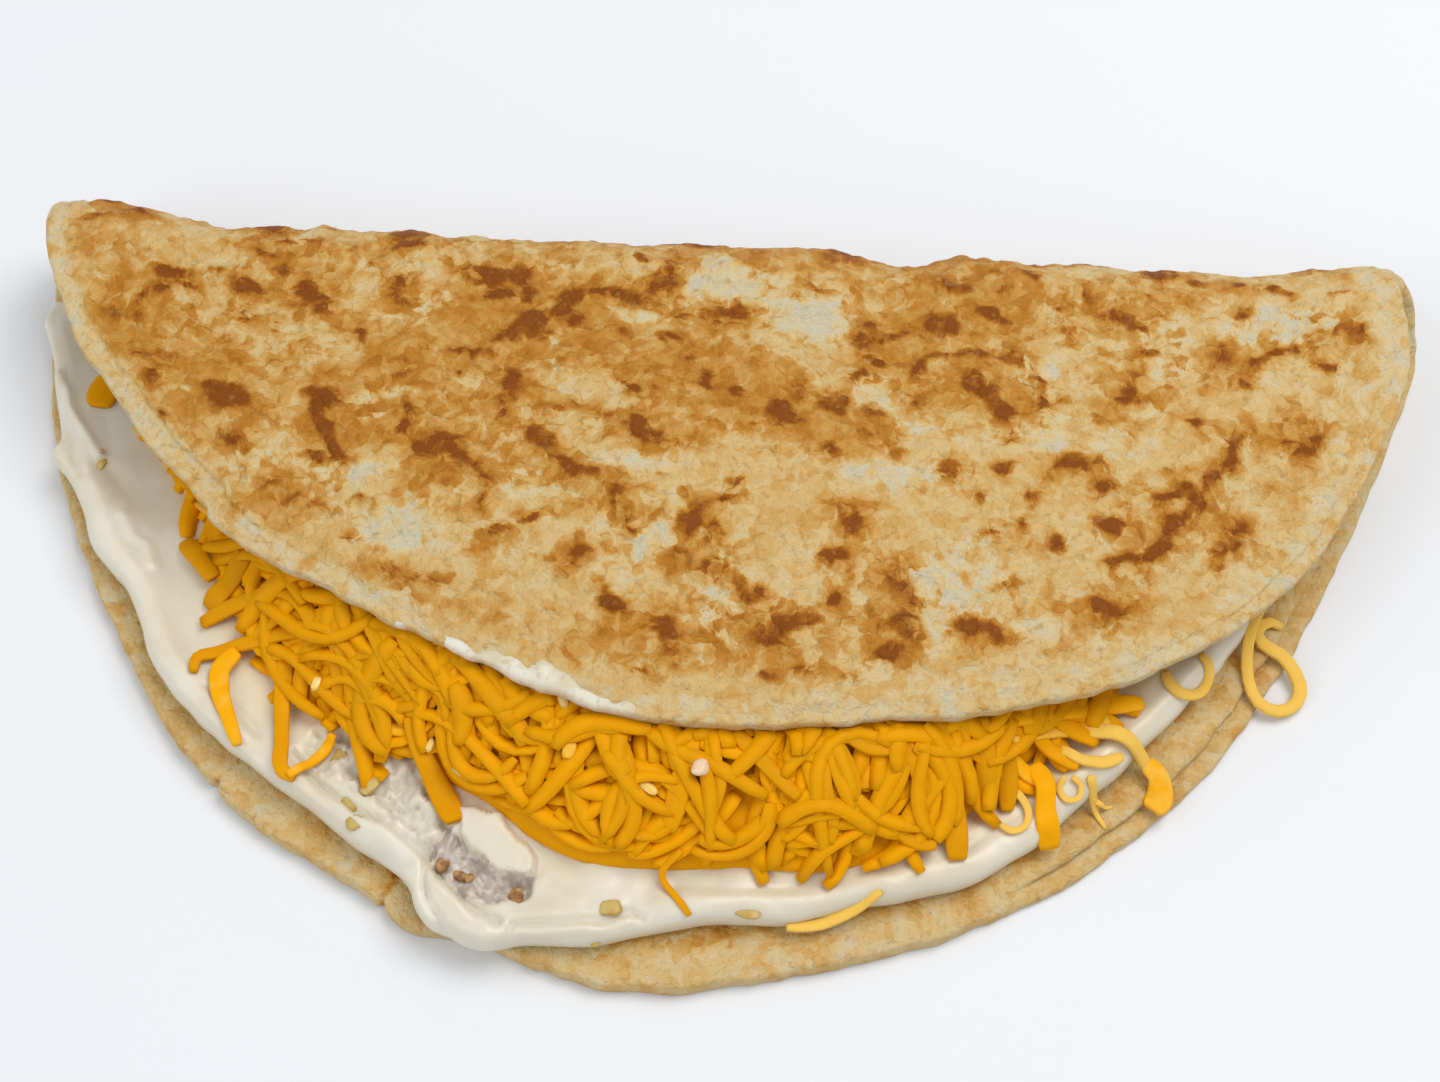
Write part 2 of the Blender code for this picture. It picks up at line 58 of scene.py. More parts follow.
MM = 0.001  # every size below is in millimetres


# Chapati
# A pan bread of laminated wheat dough, 3.3 mm thick and about 213 mm across, toasted in a dry pan and
# folded once over its filling. It is one sheet: each place on it has a flat address in millimetres, u
# along the fold and v across it, from the lower half (v below 0) round the fold to the upper half.
BREAD_THICK = 3.3
FOLD_RADIUS = 9.8  # to the middle of the sheet
FOLD_ARC = math.pi * FOLD_RADIUS
FOLD_Y = 44.35
DISC_U, DISC_V = 1.15, 2.5  # the disc's centre
RIM_RADII = (  # degrees on the flat disc, distance from its centre
    (0, 106.8), (6, 105.4), (12, 102.0), (17, 104.8), (21, 107.5), (30, 108.1), (40, 109.2), (50, 108.3),
    (57, 106.8), (65, 104.6), (75, 101.6), (92, 100.5), (112, 97.5), (135, 100.6), (142, 102.0),
    (150, 103.6), (157, 106.2), (163, 107.4), (171, 106.7), (180, 107.0), (185, 105.6), (190, 105.2),
    (205, 103.6), (218, 103.7), (226, 104.9), (236, 105.4), (244, 104.8), (249, 106.3), (255, 104.5),
    (262, 106.3), (268, 106.3), (278, 103.8), (286, 102.8), (304, 101.0), (317, 99.6), (325, 98.4),
    (337, 98.2), (345.5, 99.5), (352, 102.1),
)
CORNERS = ((173.0, 1.8, 3.0), (9.5, 1.0, 3.0))  # the fold's ends: degrees, cut back, half width in degrees
RIM_CRACKS = ((229.9, 1.1), (246.6, 1.0))  # degrees, depth
CRACK_WIDTH = 0.4  # degrees
NOTCH_FROM, NOTCH_FULL, NOTCH = 121.0, 131.0, 135.0  # degrees, where the upper rim swells and steps in
NOTCH_STEP = 1.1
RIM_LUMPS = ((0.35, 5.0, 3), (0.22, 1.9, 4))  # the rough cut's lumps: height, size, seed
# Across the rim, from the outer face to the inner: inset, height as a share of the thickness.
RIM_ROUND = (
    (1.1, -0.5), (0.45, -0.49), (0.1, -0.4), (0.0, -0.18), (0.0, 0.14), (0.15, 0.38), (0.6, 0.5),
    (1.6, 0.5), (3.0, 0.5), (4.6, 0.5), (6.4, 0.5), (8.4, 0.5), (10.6, 0.5),
)
RIM_PLIES = (  # where the dough has parted into two plies
    (1.3, -0.5), (0.5, -0.47), (0.05, -0.32), (0.1, -0.14), (0.7, -0.04), (2.5, -0.06), (3.2, -0.12),
    (2.7, 0.14), (2.85, 0.36), (3.6, 0.48), (5.6, 0.5), (8.0, 0.5), (10.6, 0.5),
)
PLIES_FROM, PLIES_TO, PLIES_FADE = 292.0, 352.0, 10.0
DOME_RISE, DOME_REACH, DOME_HALF_WIDTH = 3.5, 76.0, 120.0
RIGHT_SAG = (7.5, 28.0, 103.0, 45.0)  # how deep, from where to where along the fold, how far from the fold
LEFT_SAG = (5.0, 7.0, 92.0, 50.0)
FRONT_SAG = 1.5
RIPPLE, RIPPLE_LENGTHS = 0.5, (11.0, 17.0, 13.0)  # height, then the waves' lengths
EAR_REACH, EAR_START, EAR_LENGTH = 3.6, 72.0, 33.0  # the fold's ends stand back from its middle
EAR_BELOW, EAR_ABOVE = (-25.0, 5.0), (FOLD_ARC + 5.0, FOLD_ARC + 30.0)  # v, where that starts and fades out
FOLD_LINE = (  # u, how far the fold lies behind a straight one
    (-107, -1.0), (-99, -1.0), (-87, -0.9), (-75, -1.7), (-62, -1.5), (-50, -1.1), (-38, -0.6), (-25, -1.0),
    (-12, -0.7), (0, -0.2), (11, 0.4), (18, -0.7), (24, -1.9), (30, -1.5), (38, -0.8), (50, 0.0), (73, 0.2),
    (85, -0.1), (96, 1.0), (107, 1.2),
)
FOLD_CRAGS = (  # u, v, radius, height
    (-61, 20.5, 4, 1.2), (39, 20.5, 5, 1.5), (33, 19, 3, 0.8), (-12, 18, 6, 0.6), (14, 19, 5, 0.5),
)
CRUST_LUMPS = ((0.3, 9.0, 31), (0.22, 4.3, 32), (0.26, 2.3, 33), (0.17, 1.2, 34))  # height, size, seed
FLAKE_HEIGHT, BROWN_HEIGHT, GOLDEN_HEIGHT, PLY_DROP = 0.17, 0.45, 0.2, 0.5
INNER_LUMPS = ((0.22, 4.0, 42), (0.1, 1.6, 43))  # on the rim's inner side
FLAKE_LUMPS, FLAKE_STEPS = ((1.0, 7.0, 35), (0.5, 3.0, 36)), ((0.18, 0.30), (-0.42, -0.32))
CRAG_LUMPS = ((0.6, 2.0, 39),)
RELIEF_STARTS, TOP_STARTS = (0.5, 3.5), (1.0, 7.0)  # inside the rim, and in v: the underside lies flat
PLY_EDGE = (1.9, 2.4)  # how far inside the rim the last ply ends, a step down to the one below
PLY_LUMPS, PLY_DEPTHS = ((0.45, 3.0, 37),), ((0.4, 25.0, 38),)
PLY_LEFT, LEFT_FURTHER, LEFT_DEEPER = (30.0, 60.0), 1.3, 0.3  # at the left it ends further in, and deeper
BORDER_PALENESS, BORDER_WIDENS = 0.48, (-10.0, 40.0)  # the pale border widens along this stretch of u
BORDER_TO, BORDER_GONE, GONE_WIDENS, BORDER_LUMPS = 2.4, 4.6, 6.0, ((0.7, 4.0, 26),)  # inside the rim
TOAST_FROM, TOAST_FULL, TOAST_WIDENS, INSIDE_LUMPS = 2.0, 5.0, 4.0, ((0.8, 6.0, 25),)
WANDER_WIDE, WANDER_FINE = 0.9, 0.45  # how far the toast marks' outlines stray
HALO = 0.6  # how golden the bread is round a brown mark
GOLDEN_FADE, HALO_FADE, BROWN_FADE = (0.3, 1.7), (0.8, 3.0), (0.3, 1.8)  # from and to, in a mark's sizes
SKIN_GAP, LINING_GAP = 0.7, 1.2  # between the rim's first and last rings and the skins
LINING_LUMPS, LINING_PALENESS, LINING_FLAKY = ((0.12, 5.0, 41),), 0.5, 0.7  # of the inner face
SKIN_FLAKY, FLAKY_FROM = (0.45, 0.55), (2.0, 11.0)  # at the rim, how much more further in, and from where
RIM_SHADE, RIM_SHADE_LUMPS = (0.02, 0.3), ((0.12, 9.0, 45),)  # mottle everywhere, painted shade inward
RIM_SHADE_FROM = (2.5, 7.0)
RIM_PALENESS, LOWER_DARKER, SHADE_DARKER = 0.47, 0.09, 0.2
RIM_FLAKY, LOWER_SMOOTHER, CRACK_SHADE = 0.5, 0.22, 0.5
COLUMNS, OUTER_ROWS, UNDER_ROWS = 336, 160, 40  # cells of the outer skin
UNDER_SHARE = -0.06  # where the underside's wide cells end and the fold's begin
INNER_COLUMNS, INNER_ROWS = 150, 84


def ramp(value, start, end):
    """0 up to start, 1 from end on, and a smooth step between them."""
    share = np.clip((value - start) / (end - start), 0.0, 1.0)
    return share * share * (3.0 - 2.0 * share)


def lumps(u, v, size, seed):
    """Smooth unevenness between -1 and 1, in lumps about this size."""
    heights = np.random.default_rng(seed).uniform(-1.0, 1.0, (256, 256))
    x, y = np.asarray(u) / size + 97.0, np.asarray(v) / size + 97.0
    i, j = np.floor(x).astype(int), np.floor(y).astype(int)
    a, b = x - i, y - j
    a, b = a * a * (3 - 2 * a), b * b * (3 - 2 * b)
    i, j, ii, jj = i % 256, j % 256, (i + 1) % 256, (j + 1) % 256
    near = heights[i, j] * (1 - a) + heights[ii, j] * a
    far = heights[i, jj] * (1 - a) + heights[ii, jj] * a
    return near * (1 - b) + far * b


def unevenness(u, v, layers):
    """Lumps of several sizes, each a height, a size and a seed."""
    return sum(height * lumps(u, v, size, seed) for height, size, seed in layers)


def smooth_through(places, values, at):
    """Values at these places on a smooth curve through the given ones."""
    slopes = np.gradient(values, places, axis=0)
    first = np.clip(np.searchsorted(places, at, side="right") - 1, 0, len(places) - 2)
    step = places[first + 1] - places[first]
    share = (at - places[first]) / step
    if values.ndim > 1:
        step, share = step[:, None], share[:, None]
    return (
        (1 + 2 * share) * (1 - share) ** 2 * values[first]
        + share * (1 - share) ** 2 * step * slopes[first]
        + share**2 * (3 - 2 * share) * values[first + 1]
        + share**2 * (share - 1) * step * slopes[first + 1]
    )


def rim_radius(degrees):
    """The rim's distance from the disc's centre, with its cracks and its rough cut."""
    angles, radii = np.array(RIM_RADII, float).T
    angles = np.concatenate([angles - 360, angles, angles + 360])
    turned = np.mod(degrees, 360.0)
    radius = smooth_through(angles, np.tile(radii, 3), turned)
    for angle, depth, width in CORNERS:
        radius = radius - depth * np.exp(-(((turned - angle) / width) ** 2))
    for angle, depth in RIM_CRACKS:
        radius = radius - depth * np.exp(-(((turned - angle) / CRACK_WIDTH) ** 2))
    swell = ramp(turned, NOTCH_FROM, NOTCH_FULL) * (1.0 - ramp(turned, NOTCH - 0.5, NOTCH + 0.5))
    x, y = 100 * np.cos(np.radians(turned)), 100 * np.sin(np.radians(turned))
    return radius + NOTCH_STEP * swell + unevenness(x, y, RIM_LUMPS)


def angle_on_disc(u, v):
    return np.degrees(np.arctan2(v - DISC_V, u - DISC_U))


def inside_rim(u, v):
    """How far inside the rim each place of the flat disc lies."""
    return rim_radius(angle_on_disc(u, v)) - np.hypot(u - DISC_U, v - DISC_V)


def sag(along, run, depth, start, full, reach):
    return depth * ramp(along, start, full) * ramp(run, 0.0, reach)


def upper_rise(u, run):
    """How far the upper half lies over a level one, this far along the sheet from the fold."""
    share = np.clip(run / DOME_REACH, 0.0, 1.0)
    dome = DOME_RISE * np.sin(math.pi * share) ** 2 * (1.0 - (u / DOME_HALF_WIDTH) ** 2)
    first, second, third = RIPPLE_LENGTHS
    ripple = RIPPLE * np.sin(u / first + run / second) * np.sin(run / third) * ramp(run, 0.0, 20.0)
    return dome - sag(u, run, *RIGHT_SAG) - sag(-u, run, *LEFT_SAG) - FRONT_SAG * share**3 + ripple


def middle_of_sheet(u, v):
    """Where each flat address lies once the bread is folded, half way through its thickness."""
    turn = np.clip(v, 0.0, FOLD_ARC) / FOLD_RADIUS
    run = np.maximum(v - FOLD_ARC, 0.0)
    y = FOLD_Y + np.minimum(v, 0.0) + FOLD_RADIUS * np.sin(turn) - run
    z = BREAD_THICK / 2 + FOLD_RADIUS * (1.0 - np.cos(turn)) + upper_rise(u, run)
    ear = EAR_REACH * np.clip((np.abs(u - DISC_U) - EAR_START) / EAR_LENGTH, 0.0, 1.2) ** 1.5
    ear = ear + np.interp(u, *np.array(FOLD_LINE, float).T)
    y = y + ear * ramp(v, *EAR_BELOW) * (1.0 - ramp(v, *EAR_ABOVE))
    return np.stack([u, y, z], axis=-1)


def on_sheet(u, v, height):
    """The point this high over the middle of the sheet, on its inner side."""
    small = 0.02
    here = middle_of_sheet(u, v)
    along = middle_of_sheet(u + small, v) - here
    across = middle_of_sheet(u, v + small) - here
    normal = np.cross(along, across)
    normal /= np.linalg.norm(normal, axis=-1, keepdims=True)
    return here + normal * np.asarray(height)[..., None]


# Toast marks of the outside: u, v, half length, half width, turn in degrees, strength.
GOLDEN = (
    (-86, 43, 9, 9, 0, .7), (-72, 54, 14, 8, 10, .7), (-55, 57, 8, 7, 0, .6), (-60, 72, 10, 5, 10, .45),
    (-45, 45, 12, 9, 0, .55), (-30, 40, 13, 11, 0, .8), (-44, 60, 7, 6, 0, .5), (-35, 68, 8, 6, 30, .55),
    (-30, 56, 7, 8, 0, .5), (-15, 34, 9, 4, 0, .55), (-14, 43, 9, 5, 10, .5), (0, 49, 13, 7, 15, .75),
    (12, 55, 15, 5, 5, .85), (-8, 60, 11, 4, 10, .65), (-18, 68, 11, 4, 25, .6), (20, 60, 7, 4, 0, .55),
    (1, 38, 8, 3, 0, .6), (35, 34, 10, 6, 0, .7), (24, 40, 6, 8, 0, .6), (38, 46, 11, 7, 10, .65),
    (57, 34, 10, 5, 10, .5), (75, 40, 10, 4, -5, .55), (67, 64, 14, 4, -50, .5), (45, 29, 10, 4, 0, .45),
    (70, 28, 12, 4, 0, .5), (91, 35, 8, 3, 0, .5), (84, 52, 7, 4, 0, .35), (60, 48, 6, 6, 0, .45),
    (-45, 85, 14, 4, 15, .4), (-30, 90, 12, 3, 10, .35), (-8, 92, 10, 5, 5, .5), (10, 91, 14, 6, 0, .4),
    (28, 86, 5, 8, 0, .5), (20, 77, 4, 8, 0, .5), (42, 88, 8, 3, 10, .45), (57, 82, 8, 4, -5, .4),
    (74, 69, 5, 6, 20, .4), (-28, 78, 7, 3, -20, .45), (-16, 80, 6, 4, 0, .45), (-95, 32, 5, 8, 20, .35),
    (-90, 24, 8, 4, 0, .5), (-60, 30, 14, 4, 0, .45), (-2, 78, 6, 8, 10, .35), (53, 61, 5, 4, 0, .4),
    (0, 26, 8, 3, 0, .4), (18, 28, 10, 3, 0, .35), (-64, 38, 10, 6, 0, .35), (-70, 66, 8, 3, 15, .3),
)
BROWN = (
    (-96, 26.8, 3.5, .7, -25, .55), (-90.5, 24.6, 2.2, .7, 5, .6), (-82, 34.7, 2.6, 1, -5, .8),
    (-79, 36.6, 2.2, .5, 25, .6), (-83, 37, 1.8, 1.2, -30, .6), (-85.5, 39.5, .8, 1.8, 10, .65),
    (-88, 42.3, 2.8, 2, 0, .55), (-90, 39.8, 1.2, 1, 0, .35), (-85, 43.5, 1.5, 1, 0, .4),
    (-70, 35.8, 1.9, 1.3, -10, .7), (-72.2, 39, .7, 2.2, 10, .65), (-70, 42, 2, .8, 0, .75),
    (-67.8, 40.8, .6, 1.2, -20, .5), (-70, 40, .9, .5, 0, .9), (-62.3, 35.6, 2.2, 1.5, 20, .7),
    (-60, 37.5, 1.2, 1.6, -50, .6), (-58.8, 38.8, 1.3, 1.5, 0, .6), (-75, 33.6, 1.8, .6, 15, .6),
    (-65.2, 31.6, 1.7, .9, 5, .65), (-68.5, 29.2, 1.9, .5, 5, .6), (-65, 27.2, 3.2, .5, 5, .65),
    (-84, 49.2, 2.6, 1.2, 10, .5), (-80.5, 49.5, 1.8, 1, -5, .6), (-81, 52, 1.5, 2.2, 0, .45),
    (-70, 56, 2.6, 2.4, 0, .85), (-72.5, 54, 1.6, 1, 20, .6), (-67, 57.5, 1.8, .9, 0, .5),
    (-70, 62.3, 2.2, 1, 15, .5), (-68.3, 63.6, 1.4, .8, 0, .5), (-58, 55.6, 1.7, 1.2, 10, .9),
    (-55.5, 56.4, 1.6, 2, 0, .85), (-54, 62.5, 3.4, 1.2, 55, .9), (-57, 66, 1.8, .8, 15, .7),
    (-51, 65.5, 2, .8, 10, .5), (-61.5, 69.8, 2, .5, 0, .45), (-59, 72, 2.2, .8, 20, .5),
    (-54.5, 70, 1.3, .6, 10, .45), (-53.8, 74, 2.2, .9, 25, .45), (-61, 43.5, 1.6, 1.1, 0, .4),
    (-64.7, 42.7, 1, .5, 0, .5), (-68.5, 48, 1.2, .6, 20, .45), (-60.5, 47.8, 2.6, .6, 0, .3),
    (-60, 50.7, 2.6, .5, 0, .3), (-52.3, 44.8, 1.6, .8, 50, .65), (-53.5, 30.3, 2, .6, 20, .45),
    (-47.3, 34.5, 1.2, 2.4, 15, .6), (-47, 37.2, 1, 1, 0, .5), (-47.5, 27.4, 2.8, .6, 0, .7),
    (-41.5, 29.6, 1.6, .6, 0, .55), (-33.8, 32, 2.2, 1.3, 0, .9), (-30, 31.5, 2, 1.8, 0, .75),
    (-37.5, 31.9, 2, 1.2, 10, .5), (-32.5, 35.3, 1.6, 1.1, -20, .85), (-29, 35, 2, 1, 0, .65),
    (-23.5, 37, 1.6, 2, 20, .75), (-21.5, 34.5, 1.2, 2, 0, .5), (-21, 39.5, 1, 1.8, 10, .65),
    (-27, 39, 2.4, 1.6, -30, .75), (-28.6, 42, 2.6, 1.8, -40, .9), (-32, 43.7, 1.8, .7, -15, .75),
    (-25, 43, 1.6, 1.2, -20, .6), (-16, 33.2, 3, .9, -5, .75), (-13, 34.3, 1.5, 1.1, 0, .8),
    (-9.3, 31.3, 1.8, 1.2, -10, .7), (-7.5, 33, 1.1, 1.3, 0, .6), (-10.8, 33.2, .8, 1, 0, .5),
    (-7.2, 28.9, 1.6, .7, 5, .6), (-13, 27.9, 1.3, .8, 0, .6), (-4.5, 38, 2, .6, -10, .7),
    (-1, 37, 2.6, 1, -12, .85), (3, 36.8, 2, 1.2, 5, .8), (.5, 38.8, 3, .4, 5, .5),
    (4, 29.9, 1.1, .8, 0, .8), (6.2, 31.2, .9, .4, 45, .6), (13.5, 31.1, 1.2, .6, 10, .7),
    (17.4, 32.4, .6, .4, 0, .6), (27.2, 29.3, 1.6, .4, -25, .6), (-7.4, 42.3, 1.7, .8, 20, .65),
    (-6.2, 43, .9, .5, 0, .6), (-3.2, 46, 1.1, .8, 0, .5), (-15, 41.5, 3.4, .8, 10, .4),
    (-17.3, 47, 1.5, 1.6, 0, .35), (-.5, 49.5, 1.2, 1.8, 0, .65), (-1.5, 51.8, 3, .8, 0, .5),
    (4.2, 52.2, 1.3, .7, 0, .75), (-11, 53, 1.5, 1, 25, .75), (-13.5, 51.3, 1.4, .7, 30, .5),
    (-8.3, 53.3, .7, 1, 0, .5), (-28.6, 52.2, 1.4, 1.5, 0, .9), (-28.5, 50, 2.4, .8, 0, .55),
    (-29.2, 56, 1.4, 2.2, 0, .4), (-36.6, 49.8, 1.3, .5, 0, .5), (-46.3, 49.7, 1.8, .7, 0, .55),
    (-44.8, 52, 1, 1.2, 40, .55), (-38, 45.9, 3, .7, 0, .45), (-34, 46.5, 3, .9, -5, .45),
    (-43.7, 58, .9, 1.8, 0, .55), (-43.9, 60.8, .9, .9, 0, .75), (-38, 64.2, 3.2, 1.5, -3, .9),
    (-34.6, 65.5, 1.8, 1.2, 30, .7), (-31.8, 67.6, 2, .9, 50, .6), (-30.6, 71.5, .7, 1.8, 0, .5),
    (-27.2, 77.5, 1.9, .9, -20, .95), (-23.8, 75.7, 2.2, .8, -25, .65), (-23.2, 62.2, 2.6, 1.3, 38, .9),
    (-19, 66.5, 2.8, 1.2, 45, .8), (-15.8, 68, 1.4, 1, 10, .6), (-12.5, 69.8, 1.6, .6, 10, .5),
    (-10.8, 59.3, 1.9, 1.4, 0, .8), (-8.5, 61, 2.2, 1.2, 30, .75), (-5, 62.5, 2.4, .6, 5, .55),
    (-14.5, 58, 1, .7, 0, .4), (-22.2, 57, .8, .6, 0, .6), (-19.3, 55, .9, 1.2, -20, .4),
    (-10.5, 72, 1.6, 1.2, 30, .6), (-9, 76.5, .9, .7, 0, .9), (-9.6, 74.5, .7, 1.2, 0, .4),
    (-16, 79.5, 1.5, 1, 0, .65), (-17.8, 81.3, 1.4, .9, -20, .4), (-11.4, 86.3, 1, 1.6, -15, .95),
    (-10.5, 87, 1, .9, 0, .7), (-3.7, 91, 1.4, 2, -20, .9), (-4, 90.3, 2.8, 2.6, 0, .35),
    (-1.8, 95.5, 1.2, .8, 0, .45), (-3, 93.8, 1.4, .6, 0, .4), (-6.9, 96.7, .5, .35, 0, .8),
    (-6, 67.8, 1.8, .7, 5, .6), (3, 68, 1.5, .7, -10, .55), (-43, 82.7, 1.7, .6, 10, .4),
    (-43.5, 84.8, 1.6, .6, 0, .4), (-41.7, 83.3, .7, 1, 0, .5), (-45, 83.8, .6, 1, 0, .35),
    (-38, 84.3, 2.6, .5, 0, .5), (-49, 77.8, 1.1, .9, 0, .5), (-48.5, 72.5, 1.6, .8, 0, .4),
    (-1.7, 74.8, 1.3, 1.8, 10, .75), (-2.7, 78.5, 1.2, 1.4, 10, .6), (-.5, 71.7, 1, .9, -30, .5),
    (2.8, 70.6, 1.7, .6, -15, .7), (2.3, 76, 1.5, 1.3, 0, .6), (2.8, 81.7, 2.4, 1.6, -10, .65),
    (7, 83.3, 1.8, 1, 50, .65), (8.3, 85.2, 1, 1, 0, .85), (12.8, 88.9, 1.8, 1.4, -15, .9),
    (13, 88.5, 4.3, 2.6, 5, .5), (10.8, 91, 1, 1, 0, .5), (11, 95.7, 1, .6, 0, .6),
    (15.6, 95, 2, 1.2, -10, .6), (20.5, 72, 2.2, 1.6, 10, .45), (21.8, 72.6, .8, .7, 0, .6),
    (20.5, 76, 1.3, 3, 0, .45), (18.3, 78.6, 2.1, .8, 0, .9), (20.7, 81.5, 1, 2, 0, .5),
    (19.4, 85, .8, 1.1, 15, .9), (28.5, 81.5, 2, 3, 0, .4), (29.6, 87, 1.8, 3.6, 0, .4),
    (26.8, 88, 1.4, 1.1, 0, .75), (28.9, 88.3, 1.1, 1.1, 0, .75), (26.9, 91.5, 1.6, 1.2, 0, .85),
    (22.7, 95.3, 1.5, .9, -10, .5), (38.3, 86.6, 2.6, 1, 12, .8), (42, 88.2, 2.4, 1, 10, .4),
    (41.5, 81, 2, .9, 0, .55), (17.8, 61.5, 1.5, 1.1, 0, .7), (22.5, 59.6, 2.3, 1.8, 0, .5),
    (8.5, 62.3, 1.8, .5, -45, .4), (34.7, 63.3, 1.5, 1.5, 0, .9), (34.8, 64.2, 2.2, 2.2, 0, .4),
    (43, 62.5, 1.5, .9, -40, .8), (39, 68.2, 1.2, 1, 0, .85), (40.3, 72.7, 1.2, 1.1, 0, .6),
    (44.4, 70.8, 1, 1, 0, .7), (49.8, 73.5, 1.3, 1.3, 0, .75), (47, 66.3, 1.3, 1, 10, .65),
    (52.2, 60.4, 1.9, 1.5, -10, .95), (53, 59.6, 3.2, 2, 0, .5), (56.5, 63.3, 1.4, 1.1, 10, .7),
    (57.5, 69.4, 2, 1.3, -5, .85), (56.3, 81.2, 1.3, 1.4, 0, .7), (56.8, 82.3, 2.8, 2, 0, .4),
    (74.5, 55, 2.9, .8, -64, .75), (72.3, 59, 2.5, 1, -45, .7), (69.3, 64, 2.8, 1.1, -55, .8),
    (66.5, 68, 2.4, 1, -55, .8), (64, 71.8, 2.2, 1, -45, .9), (60.5, 74, 2.8, .9, -20, .75),
    (57.5, 75.3, 1.3, .6, -10, .5), (68.3, 61.8, 1.5, 1.1, -10, .75), (65.5, 63.3, 2.2, 1, 0, .8),
    (62.5, 63.8, 1.3, .8, 0, .5), (66, 58.8, 1.6, .6, -10, .35), (74.8, 67.8, 1.6, 2.6, 30, .6),
    (72.3, 70.5, 1.8, 1.5, -20, .6), (73.2, 73.8, .9, 1.1, 0, .5), (70.8, 72.3, .5, .5, 0, .5),
    (80.8, 69.8, 2, 1.3, -15, .3), (83.3, 53.5, 2.6, .9, 5, .6), (86.7, 51.8, 1, 1.9, 20, .6),
    (82.5, 49.5, 1.5, 1, -10, .35), (97, 49, 1, 2.6, 20, .3), (86, 60.5, .6, .5, 0, .6),
    (57.5, 33.6, 2.4, .9, 10, .65), (61, 35.2, 1.9, .9, 15, .8), (61.8, 30.1, 2.6, .4, 8, .7),
    (53.5, 30.5, 1, 1.2, 40, .4), (49.5, 33.2, 1.1, .6, 10, .5), (51.5, 36.3, 1.6, .7, 10, .6),
    (52.2, 40, .8, 3, -5, .3), (63.5, 40.2, 1.6, .8, -20, .85), (60.8, 41.5, 1.6, .5, -10, .5),
    (68, 42, 1.6, .8, -20, .35), (60.3, 46.5, 1.5, 1.7, 0, .6), (60.5, 49, 1.8, .9, 5, .65),
    (59.2, 48.5, .6, .6, 0, .9), (55.5, 52, 1, 1.2, 0, .6), (58.5, 52, 1.2, .6, 0, .4),
    (69.5, 51, 1.8, .9, -5, .75), (73.5, 40, 2.2, 1.8, -10, .55), (78.7, 40.8, 1.5, 1, -20, .75),
    (77, 43.6, 1.1, .9, 0, .9), (81.5, 38.8, 2, .7, -10, .9), (84.8, 38, 1.2, .7, -10, .8),
    (89, 35.5, 3.2, 1.6, -5, .4), (94.5, 35.5, 2.4, 1, 5, .35), (89.2, 41.2, 1.9, .9, 5, .65),
    (70.3, 26.6, 1.7, 1.3, 0, .7), (82.5, 27.9, 2.6, .6, 5, .8), (92, 29.8, 2.6, .4, 5, .55),
    (76.8, 26.2, 1.2, .8, 0, .5), (77.7, 32, .9, 1.6, 0, .35), (29.8, 44.2, 2.2, .9, -35, .65),
    (33.5, 42, 2.5, .9, -12, .65), (38.5, 41.6, 3, .9, 5, .65), (43.5, 43, 2.6, 1, 27, .65),
    (46.6, 45.8, 1.4, 1.8, -20, .75), (47.5, 48.3, 2.3, .9, 78, .7), (47.3, 52, .6, 1.6, 0, .4),
    (28.7, 46.5, 1, 1.6, 20, .5), (29.5, 51, 1.8, 2.2, 0, .65), (37.3, 46.5, 1.8, 1.5, 40, .8),
    (39.7, 49.8, 2.8, 1.8, 50, .95), (41.5, 52.3, 1.8, 1.4, 50, .85), (42, 57.5, 2, 1, 0, .7),
    (44.5, 55.6, .8, 1.3, 30, .5), (32.8, 36, 1.9, 2, 0, .95), (34.5, 38, 1.2, 1, 0, .6),
    (26, 38.4, 2.6, 1, -5, .7), (35.3, 29.3, 2.2, 1.2, 20, .8), (22.8, 37.5, 1.3, 1.6, 10, .55),
    (21.5, 41, 1.1, 2.2, 5, .6), (23.7, 43.6, 1.4, 1, 0, .8), (26.3, 43.4, 1, .5, 0, .5),
    (21, 46.8, 1.6, .7, -50, .7), (40, 33.8, 2.3, 1.1, 10, .8), (42, 34.9, 1.3, .8, 0, .5),
    (41.5, 29.7, 2, .5, -10, .5), (47, 26.6, 2.4, .8, 10, .65), (40.7, 26.5, 1.2, 1, 0, .5),
    (9.5, 55, 1.6, 1.4, 0, .8), (10.5, 56.7, 2.4, .8, 10, .6), (16.8, 54.2, 2, 1.4, 0, .85),
    (19, 52.3, .9, .7, 0, .9), (14, 52.5, 4, 1.2, 5, .4), (12.5, 50.5, 2, .6, 5, .35),
    (8, 57.6, 3.6, .5, 3, .55), (24, 54.5, 2, .8, 15, .5), (-1, 57.5, 2.4, .7, 5, .4),
    (-79, 60, .45, .4, 0, .9),
)
